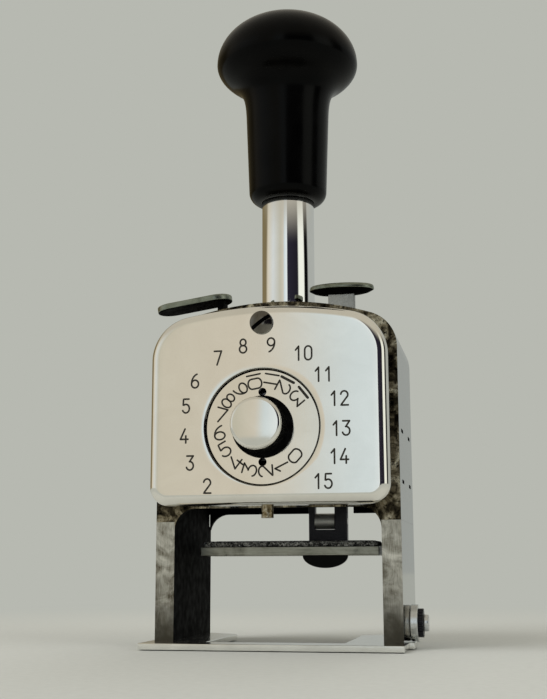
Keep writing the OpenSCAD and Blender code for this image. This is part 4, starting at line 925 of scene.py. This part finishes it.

# %% [markdown]
# ## The push button
# The button's cap is pressed from sheet: seen from above it is a long ellipse, its rim slopes a little, and
# its underside runs down to the post like the bottom of a dish. The underside is painted shade, near black.
# Ellipses of different sizes, one above the other, make the form, and a ring of each is one row of the
# grid.

# %% Button cap
cap_low, cap_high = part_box("button_cap")
CAP_HALF, CAP_DEPTH = (cap_high.x - cap_low.x) / 2 / MM, (cap_high.y - cap_low.y) / 2 / MM
CAP_X, CAP_Y = (cap_high.x + cap_low.x) / 2 / MM, (cap_high.y + cap_low.y) / 2 / MM
CAP_BOTTOM, CAP_TOP = cap_low.z / MM, cap_high.z / MM


def ellipses(rows):
    """Rings of the cap: each row is (inset from the rim, height), and a ring is the ellipse with both half
    axes smaller by the inset, where an inset of the whole half depth is a point."""
    angle = np.linspace(0, 2 * math.pi, 160, endpoint=False)[:, None]
    inset, height = np.array(rows, float).T
    share = 1 - inset / CAP_DEPTH
    longer = 1 + (CAP_HALF / CAP_DEPTH - 1) * (inset / CAP_DEPTH) ** 2
    half = np.where(share > 0, CAP_HALF - inset * longer, 0)
    return np.stack([CAP_X + half * np.cos(angle), CAP_Y + CAP_DEPTH * np.maximum(share, 0) * np.sin(angle),
                     np.broadcast_to(height, (len(angle), len(height)))], -1)


to_mesh("button_cap_top", [(ellipses([
    (0.3, CAP_BOTTOM + 0.95), (0.05, CAP_BOTTOM + 1.0), (0, CAP_BOTTOM + 1.15), (0.1, CAP_TOP - 0.35),
    (0.3, CAP_TOP - 0.12), (0.6, CAP_TOP), (1.4, CAP_TOP - 0.04), (2.6, CAP_TOP - 0.1),
    (CAP_DEPTH, CAP_TOP - 0.12),
]), True, False), (ellipses([(0.3, CAP_BOTTOM + 0.95), (CAP_DEPTH, CAP_BOTTOM + 0.95)]), True, False)],
    "button", LEVER_STEEL, ("button_cap",))
# painted shade: the cap's underside is near black
to_mesh("button_cap_underside", [(ellipses([
    (0.2, CAP_BOTTOM + 0.96), (0.35, CAP_BOTTOM + 0.85), (1.2, CAP_BOTTOM + 0.35), (1.9, CAP_BOTTOM + 0.08),
    (2.3, CAP_BOTTOM), (CAP_DEPTH, CAP_BOTTOM)]), True, False),
    (ellipses([(0.2, CAP_BOTTOM + 0.96), (CAP_DEPTH, CAP_BOTTOM + 0.96)]), True, False)],
    "button", PAINTED_SHADE_BLACK)

# %% [markdown]
# ## The ink pad
# The pad is a strip of thick wool felt, cut to lie in the tray and soaked with ink. It is soft, so its top
# is slightly crowned, its edges are round, and between its corners the sides pull in a little. Its skin is
# not smooth: loose fibres stand out, so every point is moved by a small random amount, the same in each
# run.

# %% Felt pad
felt_low, felt_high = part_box("felt_pad")
FELT_X, FELT_Y = [(felt_low[i] + felt_high[i]) / 2 / MM for i in (0, 1)]
FELT_HALF = [(felt_high[i] - felt_low[i]) / 2 / MM - 0.05 for i in (0, 1)]
FELT_CORNER, FELT_EDGE_R, FELT_CROWN, FELT_PULL = 1.2, 0.55, 0.15, 0.12
FUZZ, FUZZ_MOST = 0.05, 0.09                  # usual and largest height of the fibres


def felt_ring(inset, height, count=560):
    """A rectangle with round corners, inset from the pad's edge, as evenly spaced points at one height. The
    sides pull in by FELT_PULL times one less the fourth power of the place along them."""
    a, b = FELT_HALF[0] - inset, FELT_HALF[1] - inset
    r = min(FELT_CORNER, 0.9 * b)
    path = np.concatenate([arc(sx * (a - r), sy * (b - r), r, r, start, start + 90, 9) for sx, sy, start in
                           ((1, 1, 0), (-1, 1, 90), (-1, -1, 180), (1, -1, 270))])
    x, y = evenly(path, count).T
    pull = 1 - FELT_PULL / FELT_HALF[1] * (1 - (x / a) ** 4)
    return np.stack([FELT_X + x, FELT_Y + y * pull, np.full(count, height)], -1)


felt_bottom, felt_top = felt_low.z / MM + 0.05, felt_high.z / MM - 0.1
felt_rings = [felt_ring(inset, felt_bottom) for inset in (FELT_HALF[1] - 0.1, 3.0, 1.0, 0.3)]
felt_side = np.linspace(felt_bottom + 0.3, felt_top - FELT_EDGE_R - FELT_CROWN, 4)
felt_rings += [felt_ring(0, z) for z in felt_side]
for angle in np.radians(np.linspace(0, 90, 7)):
    felt_rings.append(felt_ring(FELT_EDGE_R * (1 - math.cos(angle)),
                                felt_top - FELT_CROWN - FELT_EDGE_R * (1 - math.sin(angle))))
for inset in np.concatenate([np.linspace(1.0, FELT_HALF[1] - 0.6, 12), [FELT_HALF[1] - 0.1]]):
    felt_rings.append(felt_ring(inset, felt_top - FELT_CROWN * (1 - inset / FELT_HALF[1]) ** 2))
felt_grid = np.stack(felt_rings, 1)
fuzz = np.random.default_rng(5).normal(0, FUZZ, felt_grid.shape)
fuzz[:, :4] = 0                                               # the bottom lies flat in the tray
felt_grid += np.clip(fuzz, -FUZZ_MOST, FUZZ_MOST)
felt = to_mesh("felt_strip", [(felt_grid, True, False)], "pad", FELT, ("felt_pad",))
work = bmesh.new()
work.from_mesh(felt.data)
bmesh.ops.holes_fill(work, edges=[e for e in work.edges if e.is_boundary])
bmesh.ops.recalc_face_normals(work, faces=work.faces)
work.to_mesh(felt.data)
work.free()

# %% [markdown]
# ## The stage
# The floor is a plain pale disc that fades into the background with distance. The background is the world,
# and for the camera it has one plain colour. What the metal mirrors is a studio: pale walls on the left, a
# dark gap and a bright screen on the right, as bands round the horizon.

# %% Floor
BACKDROP = "#B7B9B1"
floor_material, tree, shader, size = blank("pale_backdrop_paper")
where = add(tree, "ShaderNodeTexCoord")
far = add(tree, "ShaderNodeVectorMath", {0: (where, "Object")}, operation="LENGTH")
FADE_FROM, FADE_TO, FLOOR_R, FLOOR_Z = 0.08, 0.3, 3, -0.0002     # distances from the middle, and height, in m
fade = add(tree, "ShaderNodeMapRange", {"Value": (far, "Value"), "From Min": FADE_FROM, "From Max": FADE_TO},
           interpolation_type="SMOOTHSTEP")
mottle = add(tree, "ShaderNodeTexNoise", {"Vector": (size, "Vector"), "Scale": 0.6, "Detail": 4.0})
paper = add(tree, "ShaderNodeValToRGB", {"Fac": (mottle, "Fac")}, [(0.3, "#BCBEBA"), (0.7, "#C1C3BF")])
dress(tree, shader, (paper, "Color"), 0.9, Specular_IOR_Level=0.1)
plain = add(tree, "ShaderNodeEmission", {"Color": linear(BACKDROP), "Strength": 1.0})
both = add(tree, "ShaderNodeMixShader", {0: (fade, "Result"), 1: (shader, "BSDF"), 2: (plain, "Emission")})
tree.links.new(both.outputs[0], tree.nodes["Material Output"].inputs["Surface"])

floor = bpy.data.objects.new("floor", bpy.data.meshes.new("floor"))
disc = arc(0, 0, FLOOR_R, FLOOR_R, 0, 360, 97)[:-1]
floor.data.from_pydata([(x, y, FLOOR_Z) for x, y in disc], [], [list(range(len(disc)))])
floor.data.materials.append(floor_material)
bpy.context.scene.collection.objects.link(floor)
print("floor radius:", FLOOR_R, "m")

# %% Studio world
BANDS = [                                      # (degrees clockwise from the front, sRGB colour)
    (-180, "#ABAEA9"), (-168, "#ABAEA9"), (-160, "#7D7052"), (-105, "#7D7052"), (-92, "#D6CDB9"),
    (-60, "#D6DAD9"), (-25, "#C2BFAF"), (-12, "#D2CBBC"), (-7.5, "#D2DEE2"), (4, "#F0F6F8"), (7, "#2A2834"),
    (52, "#201E26"), (57, "#F4F6EB"), (82, "#F4F6EB"), (86, "#060606"), (102, "#0A0A0A"), (108, "#ABAEA9"),
    (180, "#ABAEA9"),
]
CEILING = "#BDB8AA"
CEILING_FROM, CEILING_FULL = 0.35, 0.7         # sines of the angles where the ceiling begins and is full
world = bpy.data.worlds.new("studio")
world.use_nodes = True
bpy.context.scene.world = world
tree = world.node_tree
tree.nodes.clear()
where = add(tree, "ShaderNodeTexCoord")
split = add(tree, "ShaderNodeSeparateXYZ", {"Vector": (where, "Generated")})
behind = add(tree, "ShaderNodeMath", {0: (split, "Y"), 1: -1.0}, operation="MULTIPLY")
turn = add(tree, "ShaderNodeMath", {0: (split, "X"), 1: (behind, "Value")}, operation="ARCTAN2")
round_place = add(tree, "ShaderNodeMapRange", {"Value": (turn, "Value"), "From Min": -math.pi,
                                               "From Max": math.pi})
bands = add(tree, "ShaderNodeValToRGB", {"Fac": (round_place, "Result")},
            [((a + 180) / 360, c) for a, c in BANDS])
high = add(tree, "ShaderNodeMapRange", {"Value": (split, "Z"), "From Min": CEILING_FROM,
                                        "From Max": CEILING_FULL}, interpolation_type="SMOOTHSTEP")
room = add(tree, "ShaderNodeMix", {0: (high, "Result"), 6: (bands, "Color"), 7: linear(CEILING)},
           data_type="RGBA")
seen = add(tree, "ShaderNodeLightPath")
studio = add(tree, "ShaderNodeBackground", {"Color": (room, 2)})
backdrop = add(tree, "ShaderNodeBackground", {"Color": linear(BACKDROP)})
shown = add(tree, "ShaderNodeMixShader", {0: (seen, "Is Camera Ray"), 1: (studio, "Background"),
                                          2: (backdrop, "Background")})
add(tree, "ShaderNodeOutputWorld", {"Surface": (shown, "Shader")})
print("world bands:", len(BANDS))


# %% Soft lamps
def lamp(name, place, aim, size_mm, watts, colour="#FFFFFF"):
    """A square soft lamp at a place, turned to a point, both in mm. Metal doesn't mirror it."""
    made = bpy.data.objects.new(name, bpy.data.lights.new(name, "AREA"))
    made.data.energy, made.data.size, made.data.color = watts, size_mm * MM, linear(colour)[:3]
    bpy.context.scene.collection.objects.link(made)
    made.location = Vector(place) * MM
    made.rotation_euler = (Vector(aim) - Vector(place)).to_track_quat("-Z", "Y").to_euler()
    made.visible_camera = made.visible_glossy = False
    print(f"{name}: {watts} W, {size_mm} mm wide")


lamp("key_left", (-420, -360, 620), (0, 0, 60), 420, 3.2)
lamp("fill_right", (520, -240, 420), (0, 0, 60), 500, 1.2)
lamp("top_back", (40, 480, 560), (0, 0, 130), 300, 1.0)
